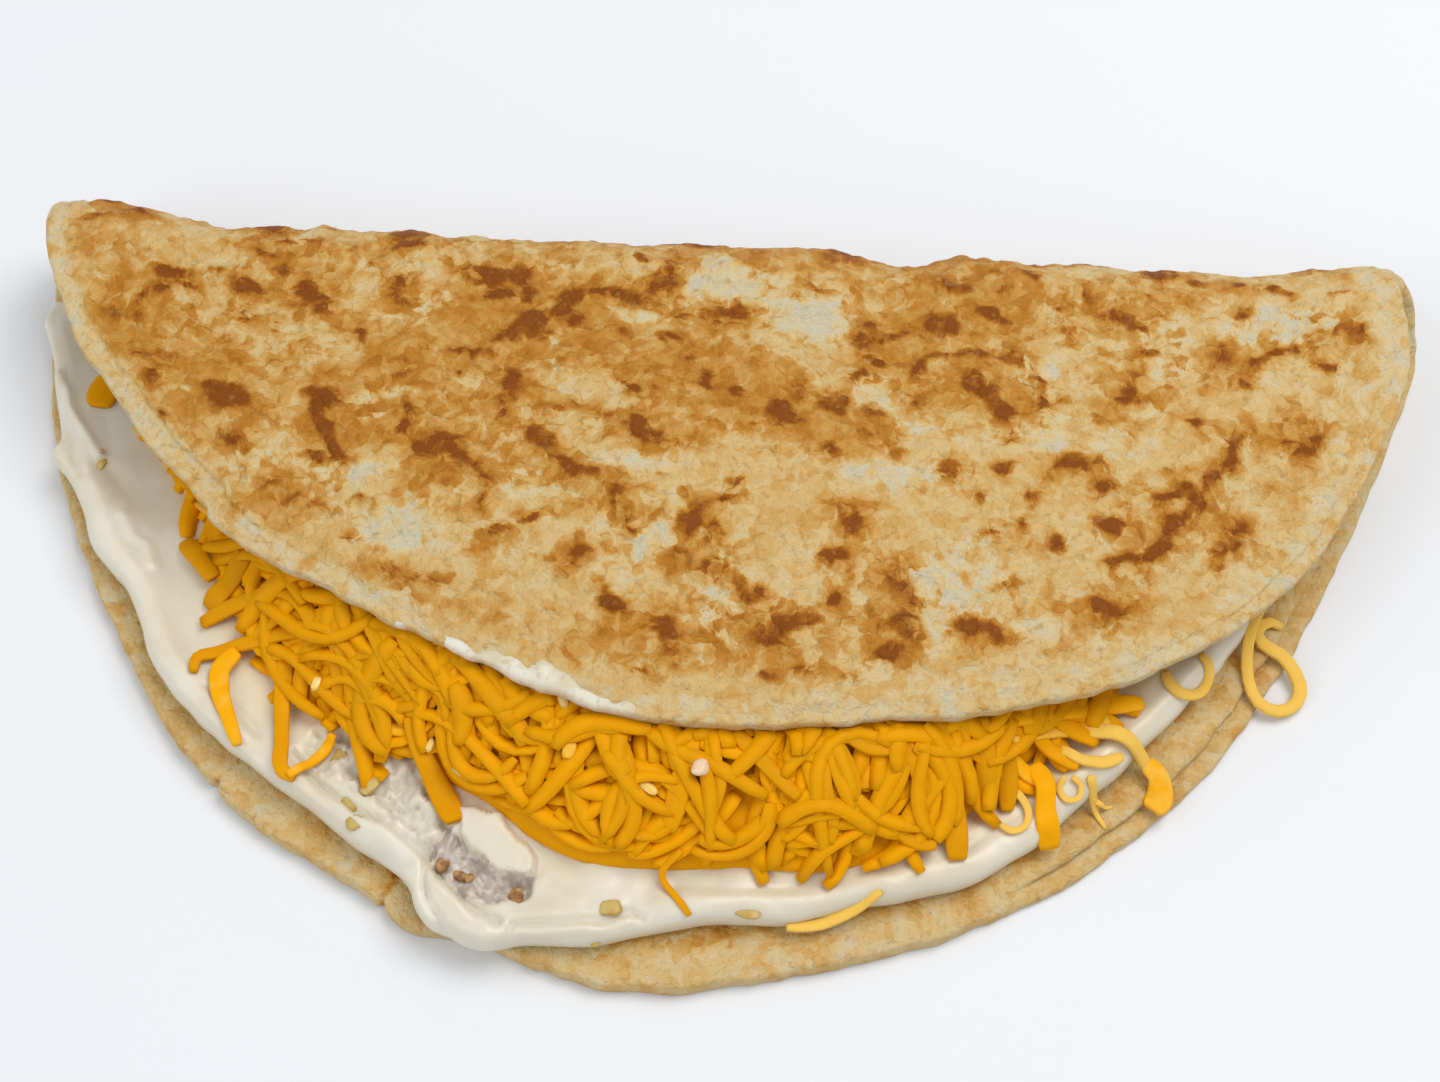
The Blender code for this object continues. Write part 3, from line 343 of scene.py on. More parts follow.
PALE = (
    (1, 31, 6, 4, 0, .9), (13, 37, 7, 4, 0, .9), (-12, 37.8, 5, 1.6, 10, .7), (-5.5, 75.5, 8, 2, -62, .8),
    (-42, 77, 6, 3.5, 5, .8), (-50, 68, 6, 1.5, 0, .6), (-66, 66.5, 3, 1.8, -15, .8),
    (-76.5, 55, .8, .6, 0, .8), (-76.5, 34.5, 1.6, 1, 10, .6), (-50, 57, 3, 3, 0, .5),
    (-43, 37, 4, 2, 0, .6), (-46, 55, 6, 1, -10, .6), (82, 34, 9, 3, -3, .75), (23, 50, 3, 4, 0, .6),
    (26, 65, 8, 2.5, 0, .6),
    (36, 79, 6, 7, 0, .55), (32, 86, 3, 6, 0, .5), (48, 53, 4, 8, 0, .5), (47, 86, 5, 2, 0, .5),
    (66, 38, 4, 6, 0, .4), (-41, 88, 6, 1.6, 15, .7), (-9, 65.5, 6, 2, 0, .6), (3, 88, 4, 5, 0, .5),
    (22, 90, 3, 5, 0, .35), (-25, 70, 4, 3, 0, .45), (-37, 72, 5, 2.5, 0, .5), (-88, 31, 6, 2, 0, .3),
    (60, 56, 8, 2, -10, .45), (47, 44, 3, 3, 0, .5), (-22, 48, 2.5, 5, 0, .5), (32, 57, 5, 2, 0, .4),
    (93, 45, 4, 4, 0, .35), (84, 44, 3, 2, 0, .35),
)
BACK_U, BACK_REACH = (-102, 102), 99  # of the marks on the sides that the photograph doesn't show
BACK_SIZES, BACK_LENGTHS, BACK_TURNS, BACK_STRENGTHS = (0.7, 2.6), (1, 2), (-60, 60), (0.4, 0.9)


def marked(u, v, marks, near=0.5, far=1.5):
    """How strongly these marks cover each place, from 0 to 1, fading from near to far of their size."""
    clear = np.ones_like(u)
    for at_u, at_v, long, wide, turn, strength in marks:
        cosine, sine = math.cos(math.radians(turn)), math.sin(math.radians(turn))
        du, dv = u - at_u, v - at_v
        reach = np.hypot((du * cosine + dv * sine) / long, (dv * cosine - du * sine) / wide)
        clear *= 1.0 - strength * (1.0 - ramp(reach, near, far))
    return 1.0 - clear


def scattered(count, v_range, seed):
    """Toast marks for the sides that the photograph doesn't show, like those that it does."""
    chance = random.Random(seed)
    found = []
    while len(found) < count:
        u, v = chance.uniform(*BACK_U), chance.uniform(*v_range)
        if math.hypot(u - DISC_U, v - DISC_V) < BACK_REACH:
            size = chance.uniform(*BACK_SIZES)
            length, turn = size * chance.uniform(*BACK_LENGTHS), chance.uniform(*BACK_TURNS)
            found.append((u, v, length, size, turn, chance.uniform(*BACK_STRENGTHS)))
    return tuple(found)


def wander(u, v, seed):
    """Makes the marks' outlines ragged."""
    return unevenness(u, v, ((WANDER_WIDE, 3.1, seed), (WANDER_FINE, 1.1, seed + 1)))


def toast_of(u, v):
    """Golden, brown and pale shares of the outer skin, and how far inside the rim each place lies."""
    wander_u, wander_v = u + wander(u, v, 21), v + wander(u, v, 23)
    rim = inside_rim(u, v)
    wider = ramp(u, *BORDER_WIDENS)
    inside = ramp(rim + unevenness(u, v, INSIDE_LUMPS), TOAST_FROM, TOAST_FULL + TOAST_WIDENS * wider)
    border = 1.0 - ramp(rim + unevenness(u, v, BORDER_LUMPS), BORDER_TO, BORDER_GONE + GONE_WIDENS * wider)
    golden = marked(wander_u, wander_v, GOLDEN + GOLDEN_BACK, *GOLDEN_FADE)
    halo = marked(wander_u, wander_v, BROWN + BROWN_BACK, *HALO_FADE)
    golden = (1.0 - (1.0 - golden) * (1.0 - HALO * halo)) * inside
    brown = marked(wander_u, wander_v, BROWN + BROWN_BACK, *BROWN_FADE) * inside
    pale = np.maximum(marked(wander_u, wander_v, PALE), BORDER_PALENESS * border)
    return golden, brown, pale, rim


GOLDEN_BACK = tuple((u, v, 4 * a, 3.5 * b, t, .8 * s) for u, v, a, b, t, s in scattered(70, (-95, 22), 8))
BROWN_BACK = scattered(240, (-98, 24.5), 9)


def crust_relief(u, v, golden, brown, rim):
    """Height of the outer skin over the plain sheet: blisters, flaking layers, and the last ply's edge."""
    layers = unevenness(u, v, FLAKE_LUMPS)
    relief = unevenness(u, v, CRUST_LUMPS)
    relief = relief + FLAKE_HEIGHT * sum(ramp(layers, *step) for step in FLAKE_STEPS)
    relief = relief + BROWN_HEIGHT * brown + GOLDEN_HEIGHT * golden
    for at_u, at_v, radius, height in FOLD_CRAGS:
        nearness = np.exp(-((u - at_u) ** 2 + (v - at_v) ** 2) / radius**2)
        relief = relief + height * nearness * (0.75 + unevenness(u, v, CRAG_LUMPS))
    leftward = ramp(-u, *PLY_LEFT)
    edge = rim + unevenness(u, v, PLY_LUMPS) - LEFT_FURTHER * leftward
    depth = PLY_DROP * (0.6 + unevenness(u, v, PLY_DEPTHS) + LEFT_DEEPER * leftward)
    drop = depth * (1.0 - ramp(edge, *PLY_EDGE))
    return (relief * ramp(rim, *RELIEF_STARTS) - drop) * ramp(v, *TOP_STARTS)


def read_vectors(rows, field):
    """One vector for each vertex, as the rows of an array."""
    values = np.empty(len(rows) * 3)
    rows.foreach_get(field, values)
    return values.reshape(-1, 3)


def store(piece, name, kind, field, values):
    """Keeps one value for each vertex, under this name, for the piece's material."""
    layer = piece.data.attributes.new(name, kind, "POINT")
    layer.data.foreach_set(field, np.ravel(values))


# The skins start as flat grids. Each vertex keeps its flat address, in metres, and its toasting.
def square_to_disc(skin, inset, rows):
    """Moves a grid of side 2 onto the flat disc, inset from its rim, and returns u and v."""
    a, b = read_vectors(skin.data.vertices, "co")[:, :2].T
    b = np.interp(b, np.linspace(-1, 1, len(rows)), rows)
    disc_u, disc_v = a * np.sqrt(1 - b * b / 2), b * np.sqrt(1 - a * a / 2)
    reach = rim_radius(np.degrees(np.arctan2(disc_v, disc_u))) - inset
    return DISC_U + reach * disc_u, DISC_V + reach * disc_v


def keep_flat(skin, u, v, height, colours, flaky):
    """Puts the skin's vertices on the sheet, and stores their flat address, toasting and flakiness."""
    skin.data.vertices.foreach_set("co", (on_sheet(u, v, height) * MM).ravel())
    store(skin, "flat", "FLOAT_VECTOR", "vector", np.column_stack([u, v, height]) * MM)
    store(skin, "toast", "FLOAT_COLOR", "color", np.column_stack([*colours, np.full(len(u), flaky)]))


def open_for_edit(piece, elements="EDGE"):
    """Edit mode on this piece alone, selecting by these elements."""
    bpy.ops.object.select_all(action="DESELECT")
    bpy.context.view_layer.objects.active = piece
    piece.select_set(True)
    bpy.ops.object.mode_set(mode="EDIT")
    bpy.ops.mesh.select_mode(type=elements)


def finish_edit():
    """Turns all normals outward, and leaves edit mode with smooth faces."""
    bpy.ops.mesh.select_all(action="SELECT")
    bpy.ops.mesh.normals_make_consistent(inside=False)
    bpy.ops.object.mode_set(mode="OBJECT")
    bpy.ops.object.shade_smooth()


bpy.ops.mesh.primitive_grid_add(x_subdivisions=COLUMNS, y_subdivisions=OUTER_ROWS + UNDER_ROWS, size=2)
chapati = bpy.context.object
chapati.name = chapati.data.name = "chapati_bread"
under_rows = np.linspace(-1, UNDER_SHARE, UNDER_ROWS, endpoint=False)
rows = np.concatenate([under_rows, np.linspace(UNDER_SHARE, 1, OUTER_ROWS + 1)])
u, v = square_to_disc(chapati, RIM_ROUND[0][0] + SKIN_GAP, rows)
golden, brown, pale, rim = toast_of(u, v)
relief = crust_relief(u, v, golden, brown, rim)
flaky = SKIN_FLAKY[0] + SKIN_FLAKY[1] * ramp(rim, *FLAKY_FROM)
keep_flat(chapati, u, v, -BREAD_THICK / 2 - relief, (golden, brown, pale), flaky)

bpy.ops.mesh.primitive_grid_add(x_subdivisions=INNER_COLUMNS, y_subdivisions=INNER_ROWS, size=2)
lining = bpy.context.object
u, v = square_to_disc(lining, RIM_ROUND[-1][0] + LINING_GAP, np.linspace(-1, 1, 3))
untoasted = np.zeros(len(u))
colours = (untoasted, untoasted, untoasted + LINING_PALENESS)
keep_flat(lining, u, v, BREAD_THICK / 2 + unevenness(u, v, LINING_LUMPS), colours, LINING_FLAKY)

# The rim grows out of the outer skin, ring by ring, round the edge and onto the inner face.
open_for_edit(chapati)
bpy.ops.mesh.select_all(action="SELECT")
bpy.ops.mesh.flip_normals()
bpy.ops.mesh.region_to_loop()
for (round_inset, round_share), (ply_inset, ply_share) in zip(RIM_ROUND, RIM_PLIES):
    bpy.ops.mesh.extrude_edges_indiv()
    shape = bmesh.from_edit_mesh(chapati.data)
    flat = shape.verts.layers.float_vector["flat"]
    toast = shape.verts.layers.float_color["toast"]
    ring = [vertex for vertex in shape.verts if vertex.select]
    u, v = np.array([vertex[flat][:2] for vertex in ring]).T / MM
    angle = angle_on_disc(u, v)
    turned = np.mod(angle, 360.0)
    parted = ramp(turned, PLIES_FROM, PLIES_FROM + PLIES_FADE)
    parted = parted * (1.0 - ramp(turned, PLIES_TO - PLIES_FADE, PLIES_TO))
    inset = round_inset + parted * (ply_inset - round_inset)
    share = round_share + parted * (ply_share - round_share)
    radius = rim_radius(angle) - inset
    u = DISC_U + radius * np.cos(np.radians(angle))
    v = DISC_V + radius * np.sin(np.radians(angle))
    golden, brown, pale, rim = toast_of(u, v)
    outward = np.clip(-2.0 * share, 0.0, 1.0)
    inward = np.clip(2.0 * share, 0.0, 1.0)
    height = BREAD_THICK * share - crust_relief(u, v, golden, brown, rim) * outward
    height += inward * unevenness(u, v, INNER_LUMPS)
    # a line of painted shade down each crack, laid in as brown
    crack = sum(np.exp(-(((turned - at) / CRACK_WIDTH) ** 2)) for at, depth in RIM_CRACKS)
    lower = 1.0 - ramp(v, -2.0, 2.0)  # 1 on the lower half's rim, painted with shade towards the cream
    # Painted shade: golden toast laid towards the lower rim's inner side, where the cream's edge shades it,
    # over a little mottle
    shade = RIM_SHADE[0] + unevenness(u, v, RIM_SHADE_LUMPS) + RIM_SHADE[1] * ramp(inset, *RIM_SHADE_FROM)
    shade = lower * shade
    paleness = RIM_PALENESS - LOWER_DARKER * lower - SHADE_DARKER * shade
    flaky = RIM_FLAKY - LOWER_SMOOTHER * lower
    rim_toasts = np.column_stack([np.maximum(shade, 0.0), CRACK_SHADE * crack, paleness, flaky])
    addresses = np.column_stack([u, v, height]) * MM
    for vertex, place, address, rim_toast in zip(ring, on_sheet(u, v, height) * MM, addresses, rim_toasts):
        vertex.co = place
        vertex[flat] = address
        vertex[toast] = rim_toast
    bmesh.update_edit_mesh(chapati.data)
bpy.ops.object.mode_set(mode="OBJECT")
lining.select_set(True)
bpy.ops.object.join()
bpy.ops.object.mode_set(mode="EDIT")
bpy.ops.mesh.select_all(action="DESELECT")
bpy.ops.mesh.select_non_manifold()
bpy.ops.mesh.bridge_edge_loops()
finish_edit()


def new_material(name, roughness, subsurface, radius):
    """A material with its Principled shader's constant sockets set, and the nodes to add to."""
    material = bpy.data.materials.new(name)
    material.use_nodes = True
    shader = material.node_tree.nodes["Principled BSDF"]
    shader.inputs["Roughness"].default_value = roughness
    shader.inputs["Subsurface Weight"].default_value = subsurface
    shader.inputs["Subsurface Radius"].default_value = radius
    shader.inputs["Subsurface Scale"].default_value = 1.0
    return material, material.node_tree, shader


def add(tree, kind, links=(), **settings):
    """A node with these settings, and a link into each of the named sockets."""
    made = tree.nodes.new(kind)
    for name, value in settings.items():
        setattr(made, name, value)
    for socket, source in links:
        if isinstance(source, (int, float, tuple)):
            made.inputs[socket].default_value = source
        else:
            tree.links.new(source, made.inputs[socket])
    return made


def blend(tree, share, under, over):
    """The colour over laid on the colour under, by this share."""
    links = [(0, share), (6, under), (7, over)]
    return add(tree, "ShaderNodeMix", links, data_type="RGBA").outputs[2]


def sum_of(tree, first, second, factor=1.0):
    """The first value and this much of the second."""
    links = [(0, second), (1, factor), (2, first)]
    return add(tree, "ShaderNodeMath", links, operation="MULTIPLY_ADD").outputs[0]


def step_at(tree, value, low, high):
    """0 below low, 1 above high, smooth between."""
    links = [("Value", value), ("From Min", low), ("From Max", high)]
    return add(tree, "ShaderNodeMapRange", links, interpolation_type="SMOOTHSTEP").outputs[0]


def grain(tree, place, scale, detail=3.0, roughness=0.55, output="Fac"):
    """Noise, this many lumps to the metre."""
    links = [("Vector", place), ("Scale", scale), ("Detail", detail), ("Roughness", roughness)]
    return add(tree, "ShaderNodeTexNoise", links).outputs[output]


def ramp_of(tree, value, stops):
    """The colour at this value on a ramp of (place, colour) stops."""
    made = add(tree, "ShaderNodeValToRGB", [(0, value)])
    stop = made.color_ramp.elements
    while len(stop) < len(stops):
        stop.new(0.5)
    for element, (at, colour) in zip(stop, stops):
        element.position = at
    for element, (at, colour) in zip(stop, stops):
        element.color = (*colour, 1.0)
    return made.outputs[0]


def parts_of(tree, colour):
    """The three values that a colour holds."""
    return add(tree, "ShaderNodeSeparateColor", [("Color", colour)]).outputs


def flakes(tree, place, scale):
    """Patches with crisp edges, each with its own value between 0 and 1."""
    cells = add(tree, "ShaderNodeTexVoronoi", [("Vector", place), ("Scale", scale)])
    return parts_of(tree, cells.outputs["Color"])[0]


def own_place(tree):
    return add(tree, "ShaderNodeTexCoord").outputs["Object"]


def paint(tree, shader, colour):
    tree.links.new(colour, shader.inputs["Base Color"])


def roughen(tree, shader, height, strength, distance):
    """Bump of this depth in metres."""
    bump = add(tree, "ShaderNodeBump", [("Height", height), ("Strength", strength), ("Distance", distance)])
    tree.links.new(bump.outputs[0], shader.inputs["Normal"])


crust, tree, shader = new_material("toasted_dough", 0.55, 0.12, (0.0014, 0.0008, 0.0004))
shader.inputs["Specular IOR Level"].default_value = 0.12
place = add(tree, "ShaderNodeAttribute", attribute_name="flat").outputs["Vector"]
toast = add(tree, "ShaderNodeAttribute", attribute_name="toast")
flaky = toast.outputs["Alpha"]
toast = parts_of(tree, toast.outputs["Color"])
swirl = [(0, grain(tree, place, 330.0, roughness=0.5, output="Color")), (1, (0.0030,) * 3), (2, place)]
torn = add(tree, "ShaderNodeVectorMath", swirl, operation="MULTIPLY_ADD").outputs[0]
middle = grain(tree, torn, 300.0, 4.0, 0.6)
fine = grain(tree, place, 900.0, 2.0, 0.5)
large, small = flakes(tree, torn, 300.0), flakes(tree, torn, 650.0)
uneven = -1.23  # so that the four below average 0
for part, weight in ((middle, 1.5), (large, 0.4), (small, 0.36), (fine, 0.2)):
    uneven = sum_of(tree, uneven, part, weight)
golden = step_at(tree, sum_of(tree, toast[0], uneven, 0.5), 0.08, 0.74)
brown = step_at(tree, sum_of(tree, toast[1], uneven, 0.35), 0.13, 0.78)
pale = step_at(tree, sum_of(tree, toast[2], uneven, -0.6), 0.2, 0.95)
toasting = sum_of(tree, sum_of(tree, sum_of(tree, 0.435, golden, 0.225), brown, 0.37), pale, -0.39)
tone = add(tree, "ShaderNodeMath", [(0, uneven), (1, flaky)], operation="MULTIPLY").outputs[0]
BREAD_COLOURS = (  # from untoasted to brown
    (0.0, (0.57, 0.51, 0.36)), (0.2, (0.635, 0.505, 0.28)), (0.38, (0.64, 0.45, 0.19)),
    (0.54, (0.58, 0.325, 0.085)), (0.70, (0.48, 0.205, 0.024)), (0.85, (0.36, 0.125, 0.009)),
    (1.0, (0.23, 0.064, 0.004)),
)
colour = ramp_of(tree, sum_of(tree, toasting, tone, 0.36), BREAD_COLOURS)
speck = step_at(tree, grain(tree, place, 650.0, 2.0), 0.60, 0.72)
colour = blend(tree, sum_of(tree, 0.0, speck, 0.4), colour, (0.40, 0.22, 0.06, 1))
paint(tree, shader, colour)
height = sum_of(tree, sum_of(tree, middle, fine, 0.42), small, 0.14)
roughen(tree, shader, height, 1.0, 0.0011)
chapati.data.materials.append(crust)
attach(chapati, "root")
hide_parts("chapati")


# Cream cheese
# A soft white layer about 5 mm thick, spread with a knife nearly to the lower half's rim. Its edge is a
# rounded bead with swirls, and at the front a patch is torn rough, with one flat-topped lump.
CREAM_BASE = BREAD_THICK + 0.4
CREAM_CENTRE = (-6.0, 8.0)
CREAM_OUTLINE = (
    (-104.5, 43.3), (-104.8, 40.5), (-103.4, 37.0), (-102.2, 33.0), (-101.2, 28.5), (-99.4, 23.0),
    (-98.1, 19.3), (-99.2, 16.9), (-96.9, 14.2), (-94.8, 11.5), (-92.4, 6.7), (-90.3, 1.8), (-87.0, -1.8),
    (-82.2, -7.2), (-79.6, -13.4), (-75.9, -19.2), (-70.6, -24.6), (-65.3, -28.8), (-58.5, -33.4),
    (-52.1, -37.4), (-48.1, -40.9), (-44.0, -43.5), (-40.4, -45.3), (-38.0, -47.0), (-36.4, -49.0),
    (-35.0, -51.8), (-32.9, -54.2), (-30.5, -55.2), (-28.3, -56.3), (-25.5, -56.6), (-20.2, -55.6),
    (-15.9, -55.2), (-10.3, -54.9), (-5.0, -53.4), (4.0, -51.2), (15.0, -50.0), (28.0, -46.3),
    (38.0, -43.5), (47.2, -37.8), (56.7, -28.3), (65.2, -19.2), (73.0, -9.6), (80.5, 1.0), (88.0, 15.0),
    (92.5, 32.0), (91.0, 43.3), (45.0, 43.8), (-50.0, 43.8),
)
CREAM_BACK = 44.0
CREAM_PROFILE = (
    (1.5, 0.0), (0.7, 0.25), (0.25, 0.8), (0.05, 1.6), (0.0, 2.5), (0.08, 3.3), (0.35, 3.95), (0.8, 4.4),
    (1.4, 4.65), (2.3, 4.8),
)
CREAM_CROWN = (  # over the rest
    (2.3, 4.8), (3.2, 4.95), (5.0, 4.75), (8.0, 4.5), (11.0, 4.7), (16.0, 4.9), (80.0, 4.9),
)
CREAM_INSETS = (*np.arange(2.8, 20.0, 0.55), 21.0, 24.0, 28.0, 34.0, 45.0)
CREAM_DEPTH = 4.9
MOUND_REACH = 0.85  # how far towards its centre a mound's last ring may come
EDGE_WAVER = ((0.35, 4.0, 44), (0.35, 5.0, 45))  # height, size, seed: first of x, then of y
CREAM_SPOKES = 900
PATCH_RAGGED = ((0.7, 2.2, 54), (0.4, 1.0, 55))
LUMP_RAGGED = ((0.25, 1.6, 57),)
SWIRL_WAVES = ((0.3, 5.2, 9.0), (0.2, 2.9, -4.0))  # height, length in x, length in y
SWIRL_LUMPS = ((0.25, 5.0, 51), (0.16, 1.9, 56))
KNIFE_WAVER = ((0.35, 3.0, 46), (0.35, 3.0, 47))
CLODS, CLOD_STEP, FINE_CLODS = ((1.0, 2.3, 52), (0.5, 1.1, 53)), 0.7, ((0.3, 0.8, 59),)
CRADLE_HEIGHT, CRADLE_WIDTH, CRADLE_LUMPS = 0.9, 1.6, ((0.6, 9.0, 58),)  # pushed up by the heap
TORN_DEPTH, HOLLOW_DEPTH, LUMP_RISE = 0.7, 1.2, 1.3
TORN_EDGE, HOLLOW_EDGE, POOL_EDGE, LUMP_EDGE = (-0.9, 0.7), (-1.0, 0.8), (-1.2, 1.2), (-0.3, 0.2)
CLOD_STEPS = ((-0.35, -0.15), (0.2, 0.4))
SWIRLS_FROM = (-12.0, 14.0)  # the swirls lie in front
HEAP_ORANGE_REACH = 2.5  # how far from the heap the cream is tinted orange
KNIFE_MARKS = (  # what the knife left: height, half width, then the line
    (1.0, 1.2, (
        (-56, -32.5), (-52.6, -35.4), (-48.8, -38.1), (-43.4, -40.6), (-39.8, -42.5), (-36.1, -45.1),
        (-33.8, -47.5),
    )),
    (-1.6, 0.6, (
        (-55, -30.5), (-52.1, -33.4), (-48.3, -36.4), (-44.4, -38.4), (-40.5, -39.4), (-37.9, -41.6),
        (-34.5, -44.4), (-32.6, -46.7), (-30.7, -48.7), (-28.5, -50.4), (-26, -52.0), (-23.5, -53.0),
    )),
    (0.8, 1.3, ((-37.5, -47.9), (-35.2, -50.2), (-33.8, -52.9), (-31.9, -54.9))),
    (-1.2, 0.5, ((-34.7, -45.9), (-34.2, -48.7), (-33.5, -51.1), (-32.1, -53.5), (-30.6, -55.0))),
    (0.9, 2.0, ((-31.9, -49.1), (-29.6, -52.1), (-27.3, -54.7), (-24.6, -55.5))),
    (0.6, 1.0, ((-22.1, -54.8), (-18.5, -54.4), (-13.6, -54.0), (-10.3, -53.6), (-6.2, -52.3))),
    (-1.0, 0.5, (
        (-22, -56), (-21.7, -53.4), (-18.6, -53.0), (-13.7, -52.6), (-10.5, -51.9), (-5.7, -50.8),
        (-4, -51.1),
    )),
    (1.1, 0.8, ((-100.4, 30), (-99.5, 28.1), (-96.9, 23.6), (-93.5, 19.2), (-91.4, 15.9))),
    (-1.0, 0.8, ((-100, 26.8), (-98, 22.3), (-95.4, 16.7), (-93.7, 12.8))),
    (0.7, 2.2, (
        (-92.8, 13.0), (-90.5, 8.7), (-86.9, 2.2), (-83.6, -2.5), (-80.2, -7.6), (-77.4, -12.8),
        (-74.2, -17.8), (-69.6, -22.7), (-63, -28.9),
    )),
    (-0.7, 2.4, (
        (-90.5, 14), (-86.5, 11.5), (-82.5, 8.5), (-79.5, 3.5), (-77, -3), (-75.5, -7.5), (-72, -13),
    )),
    (0.5, 0.8, ((-86.0, 6.5), (-83.5, 2.8), (-81.5, 1.6), (-80.2, -1.5))),
    (-1.0, 0.4, ((-34.7, -43.5), (-33.5, -42.2), (-32.6, -41.4), (-32.1, -39.9))),
    (-0.5, 0.8, ((-68.5, -21), (-64, -24.5), (-60.5, -27.5))),
    (0.5, 1.4, (
        (-2, -50), (8, -48.6), (18, -47.2), (28, -44.3), (38, -41.4), (46, -36), (55, -27), (64, -17.6),
        (72, -8),
    )),
    (-0.45, 1.2, ((0, -46.8), (10, -46.5), (20, -45), (30, -41.6), (39, -37.6), (47, -32))),
)
TORN_PATCH = (
    (-54.5, -29.5), (-52.0, -26.8), (-48.7, -26.0), (-43.0, -26.5), (-38.7, -29.0), (-36.9, -31.0),
    (-34.5, -34.0), (-32.0, -36.5), (-31.0, -40.0), (-34.0, -43.7), (-36.8, -41.9), (-40.6, -38.5),
    (-46.0, -35.6), (-51.7, -32.4),
)
CHUNK = (
    (-30.6, -37.4), (-28.6, -37.1), (-26.8, -38.0), (-24.8, -37.6), (-23.4, -40.0), (-19.5, -43.9),
    (-19.4, -46.0), (-20.7, -47.5), (-25.2, -46.1), (-26.9, -44.7), (-30.2, -41.7), (-30.2, -39.6),
)
CHUNK_HOLLOW = (
    (-34.0, -43.9), (-31.6, -39.9), (-29.6, -41.2), (-25.7, -45.0), (-20.9, -46.6), (-18.9, -46.0),
    (-19.5, -49.2), (-22.5, -50.9), (-25.7, -51.4), (-29.2, -49.6), (-32.3, -46.8),
)
SHADED_POOL = (
    (-92.5, 15.5), (-89, 17), (-85.5, 15), (-80, 9.8), (-76.5, 4.5), (-80, 4.0), (-84, 6.0), (-88, 9.2),
    (-91, 12.5),
)


def smooth_ring(knots, count):
    """This many evenly spaced points on a smooth closed line through the knots."""
    wrapped = np.array(knots[-2:] + knots + knots[:2], float)
    lengths = np.concatenate([[0], np.cumsum(np.linalg.norm(np.diff(wrapped, axis=0), axis=1))])
    fine = smooth_through(lengths, wrapped, np.linspace(lengths[2], lengths[-2], 4 * count))
    return evenly(fine, count + 1)[:-1]


def evenly(fine, count):
    """This many evenly spaced points along a finely drawn line, its ends included."""
    run = np.concatenate([[0], np.cumsum(np.linalg.norm(np.diff(fine, axis=0), axis=1))])
    wanted = np.linspace(0, run[-1], count)
    return np.column_stack([np.interp(wanted, run, fine[:, axis]) for axis in range(fine.shape[1])])


def grow_mound(name, edge, centre, profile, base, top):
    """A closed mound, extruded ring by ring inwards and upwards from a circle at its foot."""
    bpy.ops.mesh.primitive_circle_add(vertices=len(edge), radius=0.1)
    mound = bpy.context.object
    mound.name = mound.data.name = name
    store(mound, "spoke", "INT", "value", range(len(edge)))
    inward = np.array(centre) - edge
    distance = np.linalg.norm(inward, axis=1, keepdims=True)
    inward /= distance
    open_for_edit(mound)
    bpy.ops.mesh.select_all(action="SELECT")
    bpy.ops.mesh.edge_face_add()
    bpy.ops.mesh.select_all(action="DESELECT")
    for step, (inset, height) in enumerate(profile):
        plan = edge + inward * np.minimum(inset, distance * MOUND_REACH)
        level = top(plan, np.full(len(edge), base + height), inset)
        if step == 0:
            bpy.ops.mesh.select_all(action="SELECT")
        else:
            bpy.ops.mesh.extrude_edges_indiv()
        shape = bmesh.from_edit_mesh(mound.data)
        order = shape.verts.layers.int["spoke"]
        for vertex in shape.verts:
            if vertex.select:
                x, y = plan[vertex[order]]
                vertex.co = (x * MM, y * MM, level[vertex[order]] * MM)
        bmesh.update_edit_mesh(mound.data)
    bpy.ops.mesh.edge_face_add()
    finish_edit()
    return mound


def off_line(x, y, line):
    """Distance of each place from an open line."""
    nearest = np.full(x.shape, 1e9)
    for (ax, ay), (bx, by) in zip(line[:-1], line[1:]):
        step_x, step_y = bx - ax, by - ay
        along = ((x - ax) * step_x + (y - ay) * step_y) / (step_x**2 + step_y**2)
        along = np.clip(along, 0.0, 1.0)
        nearest = np.minimum(nearest, np.hypot(x - ax - along * step_x, y - ay - along * step_y))
    return nearest


def off_patch(x, y, corners):
    """Distance of each place from a closed patch's border, negative inside it."""
    within = np.zeros(x.shape, bool)
    for (ax, ay), (bx, by) in zip(corners, corners[1:] + corners[:1]):
        within ^= ((ay > y) != (by > y)) & (x < ax + (y - ay) * (bx - ax) / (by - ay + 1e-12))
    return np.where(within, -1.0, 1.0) * off_line(x, y, corners + corners[:1])


def cream_marks(x, y):
    """How far each place of the cream is torn patch, hollow under the lump, and pool of painted shade."""
    ragged = unevenness(x, y, PATCH_RAGGED)
    torn = 1.0 - ramp(off_patch(x, y, TORN_PATCH) + ragged, *TORN_EDGE)
    hollow = 1.0 - ramp(off_patch(x, y, CHUNK_HOLLOW) + ragged, *HOLLOW_EDGE)
    pool = 1.0 - ramp(off_patch(x, y, SHADED_POOL) + ragged, *POOL_EDGE)
    return torn, hollow, pool


